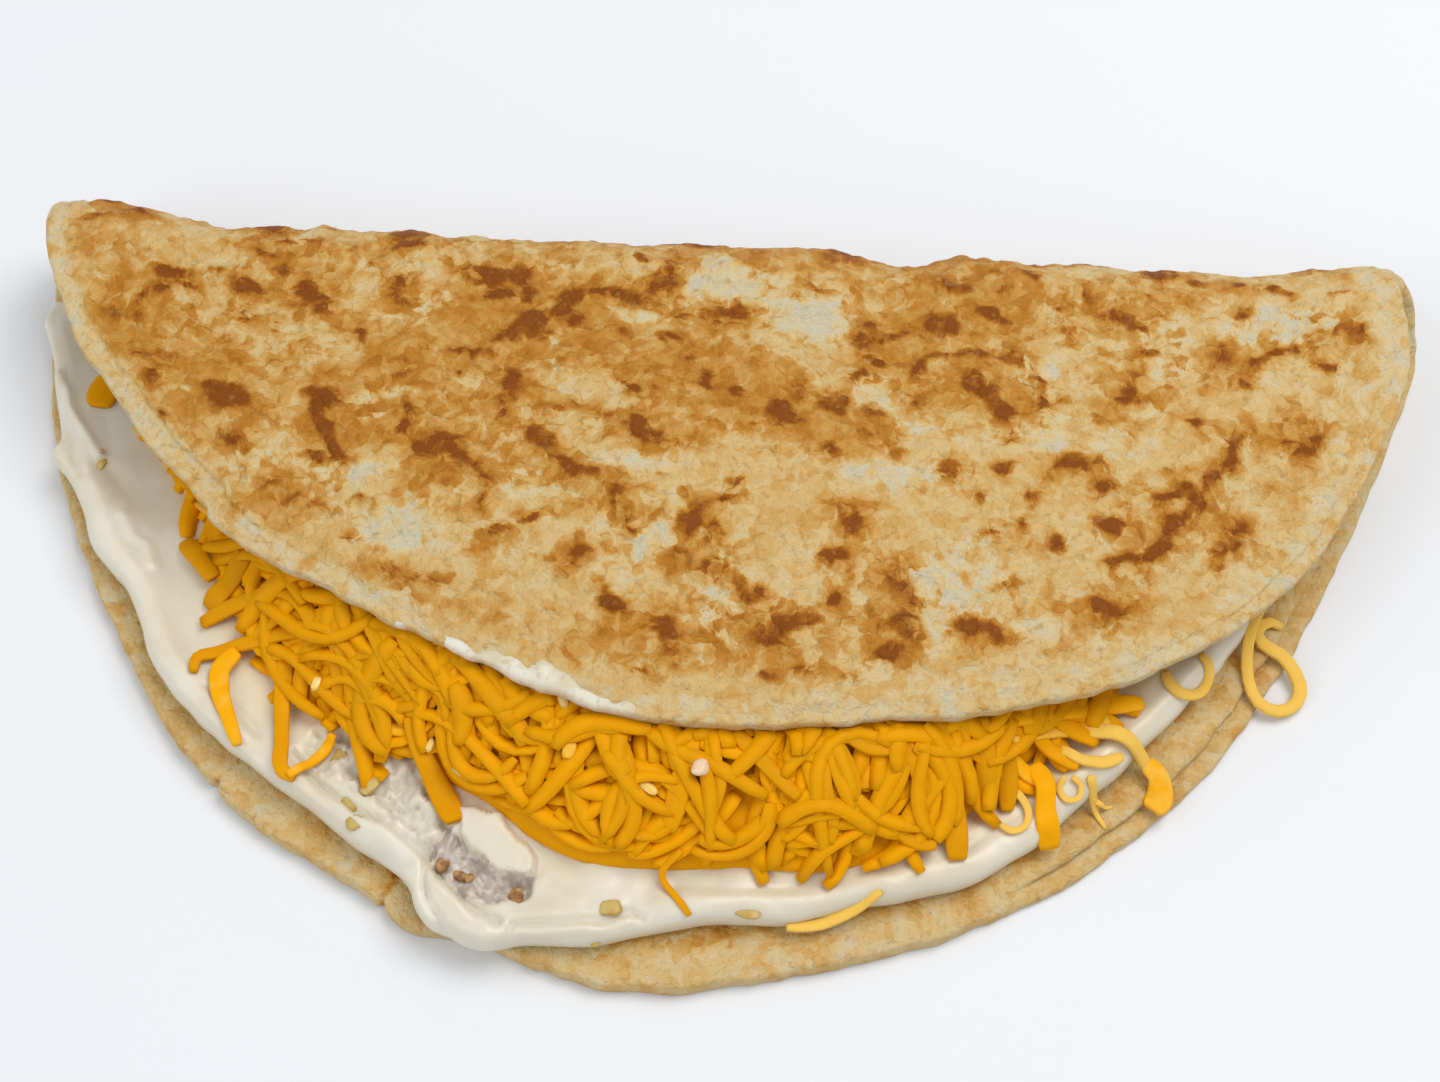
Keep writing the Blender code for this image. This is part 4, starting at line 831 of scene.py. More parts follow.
def cream_top(plan, level, inset):
    """The cream's height, with the knife's marks, the torn patch and the lump."""
    x, y = plan.T
    high = np.clip((level - CREAM_BASE) / 4.0, 0.0, 1.0) ** 2
    if inset > CREAM_CROWN[0][0]:
        level = np.full_like(level, CREAM_BASE + np.interp(inset, *np.array(CREAM_CROWN).T))
    front = ramp(-(y + 0.25 * np.abs(x)), *SWIRLS_FROM)
    torn, hollow, pool = cream_marks(x, y)
    lump = 1.0 - ramp(off_patch(x, y, CHUNK) + unevenness(x, y, LUMP_RAGGED), *LUMP_EDGE)
    swirl = sum(tall * np.sin(x / length_x + y / length_y) for tall, length_x, length_y in SWIRL_WAVES)
    swirl = swirl + unevenness(x, y, SWIRL_LUMPS)
    wavy_x, wavy_y = (place + unevenness(x, y, (waver,)) for place, waver in zip((x, y), KNIFE_WAVER))
    knife = 0.0
    for height, half_width, line in KNIFE_MARKS:
        knife = knife + height * np.exp(-((off_line(wavy_x, wavy_y, line) / half_width) ** 2))
    cradle = CRADLE_HEIGHT * np.exp(-((off_line(x, y, HEAP_FRONT) / CRADLE_WIDTH) ** 2))
    cradle = cradle * (0.55 + unevenness(x, y, CRADLE_LUMPS))
    clods = unevenness(x, y, CLODS)
    rough = CLOD_STEP * (sum(ramp(clods, *step) for step in CLOD_STEPS) - 1.0)
    rough = rough + unevenness(x, y, FINE_CLODS)
    around = 1.0 - lump
    sculpted = swirl * front * (1 - torn) * around + knife * around + cradle + torn * (rough - TORN_DEPTH)
    sculpted = sculpted + hollow * (rough - HOLLOW_DEPTH) * around + lump * (LUMP_RISE + 0.05 * rough)
    return level + high * sculpted


HEAP_OUTLINE = (
    (-75.0, 5.5), (-69.5, -8.5), (-60.5, -22.5), (-51.0, -26.5), (-41.0, -26.3), (-34.0, -32.5),
    (-25.5, -34.8), (-18.6, -39.6), (-11.0, -43.0), (5.0, -43.2), (22.0, -42.0), (36.5, -38.6),
    (48.0, -30.5), (58.5, -21.5), (66.0, -9.0), (76.0, 10.0), (80.0, 30.0), (70.0, 37.0),
    (0.0, 38.0), (-70.0, 37.0), (-84.0, 31.0), (-82.0, 18.0),
)
HEAP_FRONT = HEAP_OUTLINE[6:15]
edge = smooth_ring(CREAM_OUTLINE, CREAM_SPOKES)
edge += np.column_stack([unevenness(*edge.T, (waver,)) for waver in EDGE_WAVER])
edge[:, 1] = np.minimum(edge[:, 1], CREAM_BACK)
rings = CREAM_PROFILE + tuple((inset, CREAM_DEPTH) for inset in CREAM_INSETS)
cream = grow_mound("cream_cheese_layer", edge, CREAM_CENTRE, rings, CREAM_BASE, cream_top)
x, y = read_vectors(cream.data.vertices, "co")[:, :2].T / MM
torn, hollow, pool = cream_marks(x, y)
by_heap = np.exp(-np.maximum(off_patch(x, y, HEAP_OUTLINE), 0.0) / HEAP_ORANGE_REACH)
store(cream, "tint_and_shade", "FLOAT_COLOR", "color", np.column_stack([torn, hollow, by_heap, pool]))
soft_white, tree, shader = new_material("soft_white_cheese", 0.34, 0.35, (0.0024, 0.0018, 0.0011))
place = own_place(tree)
tint_and_shade = add(tree, "ShaderNodeAttribute", attribute_name="tint_and_shade")
pool = tint_and_shade.outputs["Alpha"]
tint_and_shade = parts_of(tree, tint_and_shade.outputs["Color"])
cloud = grain(tree, place, 90.0, 2.0)
speck = grain(tree, place, 600.0, 4.0)
colour = blend(tree, step_at(tree, cloud, 0.35, 0.7), (0.70, 0.64, 0.50, 1), (0.76, 0.72, 0.61, 1))
# Painted shade: the pool at the left end, by the upper half's rim, is darker and greyer
colour = blend(tree, sum_of(tree, 0.0, pool, 0.75), colour, (0.66, 0.57, 0.42, 1))
colour = blend(tree, sum_of(tree, 0.0, tint_and_shade[2], 0.5), colour, (0.82, 0.64, 0.36, 1))
# Greyer where the cream is torn, and more so in the hollow under the lump, where the grey is painted shade
torn = sum_of(tree, sum_of(tree, -0.25, tint_and_shade[0], 0.5), tint_and_shade[1], 0.8)
colour = blend(tree, step_at(tree, sum_of(tree, torn, speck, 0.9), 0.5, 0.8), colour, (0.66, 0.60, 0.48, 1))
specks = step_at(tree, sum_of(tree, torn, speck, 1.3), 1.0, 1.25)
colour = blend(tree, specks, colour, (0.47, 0.39, 0.33, 1))
paint(tree, shader, colour)
roughen(tree, shader, grain(tree, place, 380.0), 0.3, 0.0003)
cream.data.materials.append(soft_white)
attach(cream, "root")
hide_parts("cream_cheese")


# Grated cheddar
# A heap of soft orange shreds, each a strip about 2.4 mm wide and 0.8 mm thick off a coarse grater. A
# plain mound fills the fold, and over its open edges each shred is laid on what is already there.
CORE_OUTLINE = (
    (-72.0, 6.0), (-67.0, -5.0), (-60.0, -15.5), (-50.0, -23.0), (-42.0, -26.5), (-35.5, -32.0),
    (-27.0, -36.2), (-20.0, -41.2), (-12.5, -44.2), (-2.0, -44.5), (10.0, -43.6), (21.5, -43.0),
    (34.0, -37.5), (45.0, -28.0), (53.0, -18.5), (60.0, -9.0), (68.0, 10.0), (74.0, 30.0), (68.0, 37.0),
    (0.0, 38.0), (-68.0, 37.0), (-78.0, 31.0), (-77.0, 18.0),
)
HEAP_BASE = 8.6
HEAP_CENTRE = (-6.0, 3.0)
HEAP_BACK = 38.0
HEAP_LUMPS = ((0.5, 3.0, 61),)
CORE_SPOKES, CORE_TONE = 260, 0.7
UNDER_BREAD = 2.0  # the mound stays this far under the upper half
ROOF_FROM = 10.4  # rays start from here up to the upper half
MOUND_FROM, CREAM_FROM, BREAD_FROM = 30.0, 10.3, 9.0  # and from here down to what lies below
NO_ROOF, NO_GROUND = 60.0, -9.0
HEAP_PROFILE = (
    (1.6, -2.0), (0.5, -0.9), (0.0, 0.0), (0.2, 0.8), (0.7, 1.4), (1.6, 2.0), (3.0, 2.9), (4.8, 4.1),
    (7.2, 5.6), (10.0, 6.9), (13.5, 7.8), (18.0, 8.6), (34.0, 9.3),
)
SHREDS, FRONT_DEEPEST = 470, 26.0  # along the front, and how far in they reach
END_SHREDS, END_DEEPEST = 110, 14.0  # at the two ends, under the upper half
END_FROM, END_TO = 8.0, 35.0  # y
BAR_SIDES, SHRED_RIBS = 6, 12  # round a shred, and its cross-sections
LONG_SIDES, LONG_RIBS = 10, 25  # of one that stands out
WIDTHS, THICKNESSES = (1.9, 3.0), (0.65, 0.95)
LENGTHS = (9.0, 12.0, 15.0, 19.0, 23.0)
STANDING_OUT_RISE = 1.7  # at most so far over the bare mound
RISES = (-0.2, 2.5)  # the same for the first and the last of the others
ANY_WAY, SPREAD = 0.45, 0.4  # the share that lies any way round, and how far the others stray in radians
HEADINGS = ((-50.0, -20.0, 25.0, 45.0), (2.5, 2.0, 1.7, 1.5))  # x, and the usual heading there
BENDS, WAVES, ROLL = (0.02, 0.13), (0.0, 0.5), 0.4
SPAN_SAG, SPAN_RIBS, SPAN = 0.12, 8, 12.0  # how far each of so many ribs sags over a hollow this wide
LIES_OVER = 0.4  # its middle lies this share of its thickness over what is below
HEADROOM = 0.15  # between it and the upper half
NEXT_OVER = 0.15  # the next shred finds it at its middle and this share of its thickness
TIP_NARROWS, WIDTH_WAVES = 0.35, 0.1
SIDES_SQUARED, TOP_SQUARED = 0.5, 0.6  # powers that square the bar's round section off
THIN_LEFT, THIN_RIGHT = (46.0, 56.0), (36.0, 46.0)  # x, left and right, where the front's shreds thin out
MELTED_FROM, MELTED_TO = (-26.0, -18.0), (-28.0, -22.0)  # x, and -x: between them the edge is smooth
EDGE_BAND = 5.0  # shreds nearer the edge than this lie along it
OVERHANG = 0.4  # how far inside the edge every shred stays
# TONE_FALL is painted light: later, higher shreds are darker, earlier, deeper ones lighter
TONE_FALL, TONE_SPREAD = 0.6, 0.12
USUAL, PALE_TONE = 0.98, 1.15  # the rest are pale ends
EDGE_POINTS, LINE_POINTS = 600, 80
CELL = 0.4  # of the height map that shreds are laid on
MAP_X, MAP_Y = (-112.0, 112.0), (-66.0, 48.0)

bpy.context.view_layer.update()
bread_tree = BVHTree.FromObject(chapati, bpy.context.evaluated_depsgraph_get())
cream_tree = BVHTree.FromObject(cream, bpy.context.evaluated_depsgraph_get())


def height_hit(tree, x, y, start, upwards, missing):
    """Where a vertical ray from this height meets the surface."""
    hit = tree.ray_cast(Vector((x * MM, y * MM, start * MM)), Vector((0, 0, 1 if upwards else -1)))[0]
    return hit.z / MM if hit else missing


coarse_x, coarse_y = np.arange(MAP_X[0], MAP_X[1] + 1), np.arange(MAP_Y[0], MAP_Y[1] + 1)
ceiling = np.array([
    [height_hit(bread_tree, x, y, ROOF_FROM, True, NO_ROOF) for x in coarse_x] for y in coarse_y
])


def heap_top(plan, level, inset):
    """The mound's height, kept under the upper half."""
    over = np.array([height_hit(bread_tree, x, y, ROOF_FROM, True, NO_ROOF) for x, y in plan])
    return np.minimum(level + unevenness(*plan.T, HEAP_LUMPS) * (inset > 3), over - UNDER_BREAD)


edge = smooth_ring(CORE_OUTLINE, CORE_SPOKES)
edge[:, 1] = np.minimum(edge[:, 1], HEAP_BACK)
core = grow_mound("cheddar_heap_core", edge, HEAP_CENTRE, HEAP_PROFILE, HEAP_BASE, heap_top)
core_tree = BVHTree.FromObject(core, bpy.context.evaluated_depsgraph_get())
ground = np.array([
    [
        max(
            height_hit(core_tree, x, y, min(MOUND_FROM, ceiling[j, i] - 0.1), False, NO_GROUND),
            height_hit(cream_tree, x, y, CREAM_FROM, False, NO_GROUND),
            height_hit(bread_tree, x, y, BREAD_FROM, False, 0.0),
        )
        for i, x in enumerate(coarse_x)
    ]
    for j, y in enumerate(coarse_y)
])
steps_x = np.arange(MAP_X[0], MAP_X[1], CELL)
steps_y = np.arange(MAP_Y[0], MAP_Y[1], CELL)


def finer(coarse):
    """A coarse height map at the fine map's places."""
    across = np.array([np.interp(steps_x, coarse_x, row) for row in coarse])
    return np.array([np.interp(steps_y, coarse_y, column) for column in across.T]).T


heap_map, roof_map = finer(ground), finer(ceiling)
plain_map = heap_map.copy()


def make_bar(sides, ribs):
    """A straight shred: across and up from -1 to 1, the rib that each vertex is on, and the faces."""
    bpy.ops.mesh.primitive_cylinder_add(vertices=sides, radius=1.0, depth=1.0, end_fill_type="NGON")
    bar = bpy.context.object
    open_for_edit(bar)
    shape = bmesh.from_edit_mesh(bar.data)
    for side in shape.edges:
        side.select_set(abs(side.verts[0].co.z - side.verts[1].co.z) > 0.5)
    bpy.ops.mesh.subdivide(number_cuts=ribs - 2)
    bpy.ops.object.mode_set(mode="OBJECT")
    points = read_vectors(bar.data.vertices, "co")
    around = np.arctan2(points[:, 1], points[:, 0])
    across = np.sign(np.cos(around)) * np.abs(np.cos(around)) ** SIDES_SQUARED
    up = np.sign(np.sin(around)) * np.abs(np.sin(around)) ** TOP_SQUARED
    rib = np.round((points[:, 2] + 0.5) * (ribs - 1)).astype(int)
    faces = [tuple(face.vertices) for face in bar.data.polygons]
    bpy.data.objects.remove(bar)
    return across, up, rib, faces


SHORT_BAR, LONG_BAR = make_bar(BAR_SIDES, SHRED_RIBS), make_bar(LONG_SIDES, LONG_RIBS)


def lay_shred(plan, width, thick, bar, rise, roll=0.0):
    """Points of one shred laid along the plan line on the heap, at most this rise over the bare mound.

    It spans hollows with a little sag, stays under the upper half, and becomes part of the height map.
    """
    across, up, rib, _ = bar
    ribs = rib.max() + 1
    plan = evenly(np.array(plan, float), ribs)
    heading = np.gradient(plan, axis=0)
    heading /= np.linalg.norm(heading, axis=1, keepdims=True)
    i = ((plan[:, 0] - MAP_X[0]) / CELL).astype(int)
    j = ((plan[:, 1] - MAP_Y[0]) / CELL).astype(int)
    widths = np.linspace(*width, ribs) if isinstance(width, tuple) else np.full(ribs, width)
    reach = max(1, round(widths.mean() * 0.3 / CELL))

    def cells_at(chart, a, b):
        return chart[b - reach:b + reach + 1, a - reach:a + reach + 1]

    def around(chart, pick):
        return np.array([pick(cells_at(chart, a, b)) for a, b in zip(i, j)])

    under = np.minimum(around(heap_map, np.max), around(plain_map, np.mean) + rise)
    level = under.copy()
    droop = SPAN_SAG * (SPAN_RIBS / (ribs - 1) * np.linalg.norm(plan[-1] - plan[0]) / SPAN) ** 2
    for _ in range(ribs // 2):
        level[1:-1] = np.maximum(under[1:-1], (level[:-2] + level[2:]) / 2 - droop)
    for _ in range(3 if ribs > SHRED_RIBS else 1):
        level[1:-1] = (level[:-2] + 2 * level[1:-1] + level[2:]) / 4
    level = np.minimum(level + thick * LIES_OVER, around(roof_map, np.min) - thick * 0.5 - HEADROOM)
    line = np.column_stack([plan, level])
    along = np.gradient(line, axis=0)
    along /= np.linalg.norm(along, axis=1, keepdims=True)
    side = np.column_stack([-heading[:, 1], heading[:, 0], np.zeros(ribs)])
    top = np.cross(along, side)
    twist = roll * np.linspace(-1, 1, ribs)[:, None]
    cosine, sine = np.cos(twist), np.sin(twist)
    side, top = side * cosine + top * sine, top * cosine - side * sine
    share = np.linspace(-1, 1, ribs)
    taper = 1.0 - TIP_NARROWS * np.abs(share) ** 6 + WIDTH_WAVES * np.sin(share * 3.0 + 7.0 * plan[0, 0])
    across = across * (widths / 2 * taper)[rib]
    for a, b, z in zip(i, j, level):
        cells = cells_at(heap_map, a, b)
        np.maximum(cells, z + thick * NEXT_OVER, out=cells)
    return line[rib] + side[rib] * across[:, None] + top[rib] * (up * thick / 2)[:, None]


MARKED_SHREDS = (  # the ones that stand out: width, or those of both ends, lightness, then plan points
    (2.9, 0.05, ((-75.8, 2.0), (-72.7, -1.7), (-70.2, -4.6))),
    (3.2, -0.05, ((-65.7, -1.7), (-68.1, -5.9), (-70.5, -8.6))),
    (2.5, 0.15, (
        (-71.2, -10.9), (-68.9, -10.0), (-63.9, -8.5), (-58.9, -8.4), (-55.9, -10.5), (-53.8, -13.6),
        (-53.3, -16.5),
    )),
    (2.1, 0.25, (
        (-70.8, -19.3), (-70.7, -16.9), (-67.9, -15.8), (-63.0, -14.7), (-57.8, -14.1), (-54.0, -14.6),
    )),
    ((2.2, 2.9), 1.15, ((-62.8, -30.0), (-64.8, -25.8), (-66.7, -21.6), (-67.1, -18.7), (-64.8, -16.1))),
    ((2.7, 2.1), 0.45, ((-57.7, -17.3), (-57.5, -22.0), (-56.6, -29.7), (-55.6, -33.9), (-53.9, -34.6))),
    (1.5, 1.15, ((-54.8, -34.7), (-52.7, -32.5), (-50.6, -29.4), (-49.6, -27.7))),
    (2.4, 0.15, ((-50.0, -13.9), (-49.5, -18.0), (-49.2, -22.2), (-49.6, -24.3))),
    (2.5, 0.05, ((-40.6, -15.7), (-37.8, -19.2), (-34.0, -22.3))),
    (2.3, 0.1, (
        (-48.3, -18.4), (-44.3, -17.9), (-41.1, -17.7), (-38.9, -20.0), (-36.7, -22.2), (-37.3, -24.0),
        (-41.2, -24.9),
    )),
    (2.4, 0.05, ((-45.8, -22.9), (-43.4, -26.6), (-42.3, -29.1))),
    ((2.8, 3.6), 0.15, ((-38.6, -26.0), (-37.1, -29.5), (-34.8, -33.2), (-32.0, -37.6), (-31.0, -39.6))),
    (1.0, 0.45, ((0.6, -43.0), (-1.9, -45.6), (0.1, -48.4), (2.2, -50.9))),
    (3.2, 0.1, ((34.0, -23.4), (35.3, -27.7), (37.3, -34.9), (38.2, -40.6))),
    (2.0, 0.25, ((37.4, -22.8), (38.5, -27.5), (38.9, -31.0))),
    (2.8, 0.05, ((40.6, -22.3), (41.7, -30.6), (41.9, -33.4))),
    (2.6, 0, ((43.2, -22.9), (44.6, -27.5), (44.8, -32.6))),
    (2.4, 0.15, ((21.2, -26.4), (25.2, -28.5), (29.9, -28.6), (32.9, -32.8), (35.0, -36.4))),
    (2.1, 0.25, ((13.8, -31.6), (15.7, -30.5), (18.0, -30.6), (19.5, -34.9), (20.9, -38.8), (20.6, -41.0))),
    (2.8, 0.05, ((19.0, -26.5), (21.2, -30.2), (22.9, -33.8), (23.1, -36.6))),
    (2.2, 0.15, ((6.7, -27.9), (9.9, -30.7), (13.3, -34.0), (16.0, -36.1))),
    ((2.0, 3.4), 0.45, ((1.1, -25.1), (0.8, -31.6), (-0.2, -36.1), (-1.3, -41.0))),
    (1.9, 0.25, ((3.8, -25.7), (3.7, -30.3), (5.2, -34.7), (4.3, -39.3))),
    (2.2, 0.15, ((24.1, -36.5), (28.9, -37.6), (31.7, -39.0), (35.1, -39.2))),
    (1.8, 1.35, ((-17.8, -29.4), (-15.6, -30.8), (-15.8, -32.7))),
    # From here to the loop the shreds are paler: partly their own yellow, partly painted light against the
    # upper half's shadow
    (3.2, 1.15, ((44.3, -21.7), (48.9, -19.3), (54.5, -17.1), (63.6, -15.2))),
    (2.4, 0.6, ((46.5, -20.6), (50.5, -23.8), (54.6, -25.6))),
    (2.6, 0.6, ((46.0, -17.2), (52.0, -19.6), (57.0, -22.0))),
    (2.2, 0.5, ((49.0, -16.4), (55.5, -17.6), (60.5, -19.4))),
    (2.4, 1.3, ((44.7, -23.7), (51.7, -20.8), (58.8, -18.9))),
    ((1.8, 2.4), 1.55, ((54.2, -20.6), (58.8, -20.6), (63.1, -21.7), (66.0, -23.3))),
    ((3.2, 3.8), 1.25, ((64.6, -22.3), (66.4, -24.3), (66.6, -26.8), (65.6, -28.4))),
    (2.4, 1.15, ((42.9, -24.5), (47.0, -27.2), (49.4, -28.0))),
    ((2.6, 3.6), 1.05, ((48.2, -26.0), (49.8, -28.7), (50.1, -32.6), (51.0, -36.2))),
    (0.9, 1.85, ((52.6, -27.4), (51.9, -28.9), (53.0, -30.4), (54.7, -29.9), (54.9, -28.2), (53.6, -27.4))),
    (1.7, 1.65, ((52.0, -23.4), (55.0, -25.0), (58.2, -24.7), (60.6, -23.5))),
    ((1.4, 0.6), 1.85, ((56.2, -26.8), (57.4, -29.2), (59.1, -31.6))),
    ((0.9, 0.5), 1.45, ((57.0, -28.4), (58.8, -28.9), (60.0, -28.4))),
    (1.1, 1.85, ((43.9, -34.8), (45.5, -35.6), (47.3, -34.7), (47.7, -32.3), (46.2, -30.3), (44.3, -29.9))),
    (1.6, 1.55, (
        (66.9, -9.4), (67.4, -11.2), (69.4, -12.8), (71.6, -12.0), (73.2, -9.9), (73.0, -7.6), (72.0, -6.4),
    )),
    (1.9, 1.5, (
        (84.8, 2.0), (83.2, 2.2), (81.6, 1.2), (81.0, -0.6), (82.4, -1.6), (84.8, -2.4), (86.8, -4.6),
        (87.7, -7.2), (86.5, -9.8), (84.0, -10.9), (81.2, -9.9), (79.7, -7.0), (79.4, -3.4), (80.1, 0.2),
        (81.8, 3.6),
    )),
    (1.5, 1.35, ((-87.0, 21.5), (-83.0, 17.8), (-78.3, 12.7), (-74.8, 8.5), (-71.1, 5.0))),
    ((3.4, 4.6), 0.75, ((-90.6, 32.0), (-92.6, 28.5), (-93.0, 24.6))),
    (1.6, 1.55, ((15.5, -50.6), (20.0, -49.4), (24.3, -47.6), (28.0, -45.6))),
)

shred_points, shred_faces, shred_tones = [], [], []


def keep_shred(points, bar, tone):
    """Adds one shred to the joined piece."""
    start = sum(len(kept) for kept in shred_points)
    shred_points.append(points)
    shred_faces.extend(tuple(start + corner for corner in face) for face in bar[3])
    shred_tones.extend([tone] * len(points))


def seeded_plan(chance, at, inward, deepest):
    """The plan line of one shred near this point of the heap's edge."""
    to_ends = 0.55 * ramp(-at[0], *THIN_LEFT) + ramp(at[0], *THIN_RIGHT)
    melted = ramp(at[0], *MELTED_FROM) * ramp(-at[0], *MELTED_TO)
    depth = chance.uniform(0.5 + 5.0 * to_ends + 0.6 * melted, deepest)
    middle_at = at + inward * depth
    along = np.interp(middle_at[0], *HEADINGS)
    if depth < EDGE_BAND:
        along = math.atan2(inward[0], -inward[1])
    heading = chance.uniform(0, math.pi) if chance.random() < ANY_WAY else chance.gauss(along, SPREAD)
    bend = chance.choice((-1, 1)) * chance.uniform(*BENDS)
    wave = chance.uniform(*WAVES)
    length = chance.choice(LENGTHS) * chance.uniform(0.8, 1.2)
    steps = np.linspace(-length / 2, length / 2, SHRED_RIBS)
    turn = heading + bend * steps + wave * np.sin(steps / 4.0 + chance.uniform(0, 6))
    plan = np.cumsum(np.column_stack([np.cos(turn), np.sin(turn)]) * (steps[1] - steps[0]), axis=0)
    plan += middle_at - plan.mean(axis=0)
    return plan + inward * max(0.0, np.max((at - plan) @ inward) + OVERHANG)


def pile(count, edge, deepest, chance):
    """Lays this many seeded shreds, each within this depth of a chance point of the heap's edge."""
    inward = np.array(HEAP_CENTRE) - edge
    inward /= np.linalg.norm(inward, axis=1, keepdims=True)
    for number in range(count):
        at = int(chance.random() * len(edge))
        plan = seeded_plan(chance, edge[at], inward[at], deepest)
        width, thick = chance.uniform(*WIDTHS), chance.uniform(*THICKNESSES)
        rise = RISES[0] + (RISES[1] - RISES[0]) * number / count
        points = lay_shred(plan, width, thick, SHORT_BAR, rise, chance.uniform(-ROLL, ROLL))
        # Painted light: shreds laid first, deep in the heap, are lighter to offset their shade; the last,
        # on top, darker against highlights
        lightness = 1.0 - TONE_FALL * number / count + chance.uniform(-TONE_SPREAD, TONE_SPREAD)
        keep_shred(points, SHORT_BAR, lightness if chance.random() < USUAL else PALE_TONE)


heap_edge = smooth_ring(HEAP_OUTLINE, EDGE_POINTS)
pile(SHREDS, heap_edge[heap_edge[:, 1] < END_FROM], FRONT_DEEPEST, random.Random(5))
for width, lightness, points in MARKED_SHREDS:
    knots = np.array(points, float)
    lengths = np.concatenate([[0], np.cumsum(np.linalg.norm(np.diff(knots, axis=0), axis=1))])
    line = smooth_through(lengths, knots, np.linspace(0, lengths[-1], LINE_POINTS))
    thick = min(THICKNESSES[1], 0.5 * float(np.mean(width)))
    keep_shred(lay_shred(line, width, thick, LONG_BAR, STANDING_OUT_RISE), LONG_BAR, lightness)
at_ends = (heap_edge[:, 1] > END_FROM) & (heap_edge[:, 1] < END_TO)
pile(END_SHREDS, heap_edge[at_ends], END_DEEPEST, random.Random(6))


def new_piece(name, parts, faces):
    """One mesh of all these parts' points, which the faces count through."""
    mesh = bpy.data.meshes.new(name)
    mesh.from_pydata([tuple(point * MM) for points in parts for point in points], [], faces)
    piece = bpy.data.objects.new(name, mesh)
    bpy.context.scene.collection.objects.link(piece)
    return piece


shreds = new_piece("cheddar_shreds", shred_points, shred_faces)
store(shreds, "tone", "FLOAT", "value", shred_tones)
open_for_edit(shreds)
finish_edit()
store(core, "tone", "FLOAT", "value", [CORE_TONE] * len(core.data.vertices))
cheddar, tree, shader = new_material("grated_cheddar", 0.5, 0.1, (0.0007, 0.0006, 0.0002))
shader.inputs["Specular IOR Level"].default_value = 0.06
place = own_place(tree)
tone = add(tree, "ShaderNodeAttribute", attribute_name="tone").outputs["Fac"]
mottle = grain(tree, place, 400.0)
CHEDDAR_COLOURS = (  # from the darkest shreds to the palest ends
    (0.0, (0.665, 0.285, 0.001)), (0.3, (0.74, 0.32, 0.001)), (0.6, (0.86, 0.37, 0.0)),
    (0.8, (0.92, 0.42, 0.003)), (1.0, (0.86, 0.54, 0.10)),
)
colour = ramp_of(tree, sum_of(tree, sum_of(tree, -0.15, tone, 0.65), mottle, 0.4), CHEDDAR_COLOURS)
paint(tree, shader, colour)
roughen(tree, shader, grain(tree, place, 1500.0), 0.3, 0.0002)
for piece in (core, shreds):
    piece.data.materials.append(cheddar)
    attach(piece, "root")
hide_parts("grated_cheddar")
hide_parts("grated_cheddar")


# Cream smeared on the upper rim
# Where the upper half was pressed down it picked up a smear of the same cream cheese, 1 to 3 mm wide along
# its edge and up to 1 mm thick. It is a skin lifted off the bread, so it follows every bump.
SMEAR_FROM, SMEAR_TO, SMEAR_REACH = -50.0, 0.0, 5.0  # u, and how far in from the rim its skin is lifted
UPPER_V, TOP_OUT, TOP_FADE = 80.0, 1.2, (0.3, 1.2)  # height on the sheet: the inner side keeps none
SMEAR_FADE, SMEAR_THICKENS = (-0.2, 0.6), ((0.4, 2.0, 72),)
SMEAR_EDGE, SMEAR_LUMPS = (0.7, 2.4, 71), (0.22, 2.9, 73)
SUNK = 0.15  # how deep the skin lies where there is no cream
SMEAR_SIZES = (  # u, width, thickness
    (-47, 0.4, -0.2), (-44, 1.1, 0.04), (-38, 1.0, 0.05), (-30, 1.2, 0.08), (-25, 1.5, 0.12),
    (-22, 2.0, 0.27), (-19.5, 3.0, 0.55), (-16.5, 2.4, 0.35), (-14, 1.8, 0.17), (-8, 1.4, 0.1),
    (-4, 1.0, -0.05), (-2, 0.4, -0.25),
)
open_for_edit(chapati, "FACE")
bpy.ops.mesh.select_all(action="DESELECT")
shape = bmesh.from_edit_mesh(chapati.data)
flat = shape.verts.layers.float_vector["flat"]
for face in shape.faces:
    u, v, height = face.verts[0][flat] / MM
    if SMEAR_FROM < u < SMEAR_TO and v > UPPER_V and height < TOP_OUT:
        face.select_set(bool(inside_rim(u, v) < SMEAR_REACH))
bpy.ops.mesh.duplicate()
bpy.ops.mesh.separate(type="SELECTED")
bpy.ops.object.mode_set(mode="OBJECT")
smear = next(piece for piece in bpy.context.selected_objects if piece is not chapati)
smear.name = smear.data.name = "cream_smear_on_rim"
smear.data.materials.clear()
places = read_vectors(smear.data.vertices, "co")
normals = read_vectors(smear.data.vertices, "normal")
u, v, height = read_vectors(smear.data.attributes["flat"].data, "vector").T / MM
at_u, widths, thicknesses = np.array(SMEAR_SIZES, float).T
width = np.interp(u, at_u, widths) + unevenness(u, v, (SMEAR_EDGE,))
within = ramp(width - inside_rim(u, v), *SMEAR_FADE) * (1.0 - ramp(height, *TOP_FADE))
thick = np.interp(u, at_u, thicknesses) * (0.9 + unevenness(u, v, SMEAR_THICKENS))
thick = (thick + SUNK + unevenness(u, v, (SMEAR_LUMPS,))) * within - SUNK
smear.data.vertices.foreach_set("co", (places + normals * (thick * MM)[:, None]).ravel())
dried, tree, shader = new_material("dried_cream", 0.5, 0.3, (0.0018, 0.0014, 0.0009))
place = own_place(tree)
speck = step_at(tree, grain(tree, place, 900.0, 3.0), 0.56, 0.66)
colour = step_at(tree, grain(tree, place, 200.0), 0.35, 0.65)
colour = blend(tree, colour, (0.66, 0.56, 0.38, 1), (0.76, 0.72, 0.60, 1))
paint(tree, shader, blend(tree, sum_of(tree, 0.0, speck, 0.4), colour, (0.52, 0.42, 0.25, 1)))
smear.data.materials.append(dried)
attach(smear, "root")


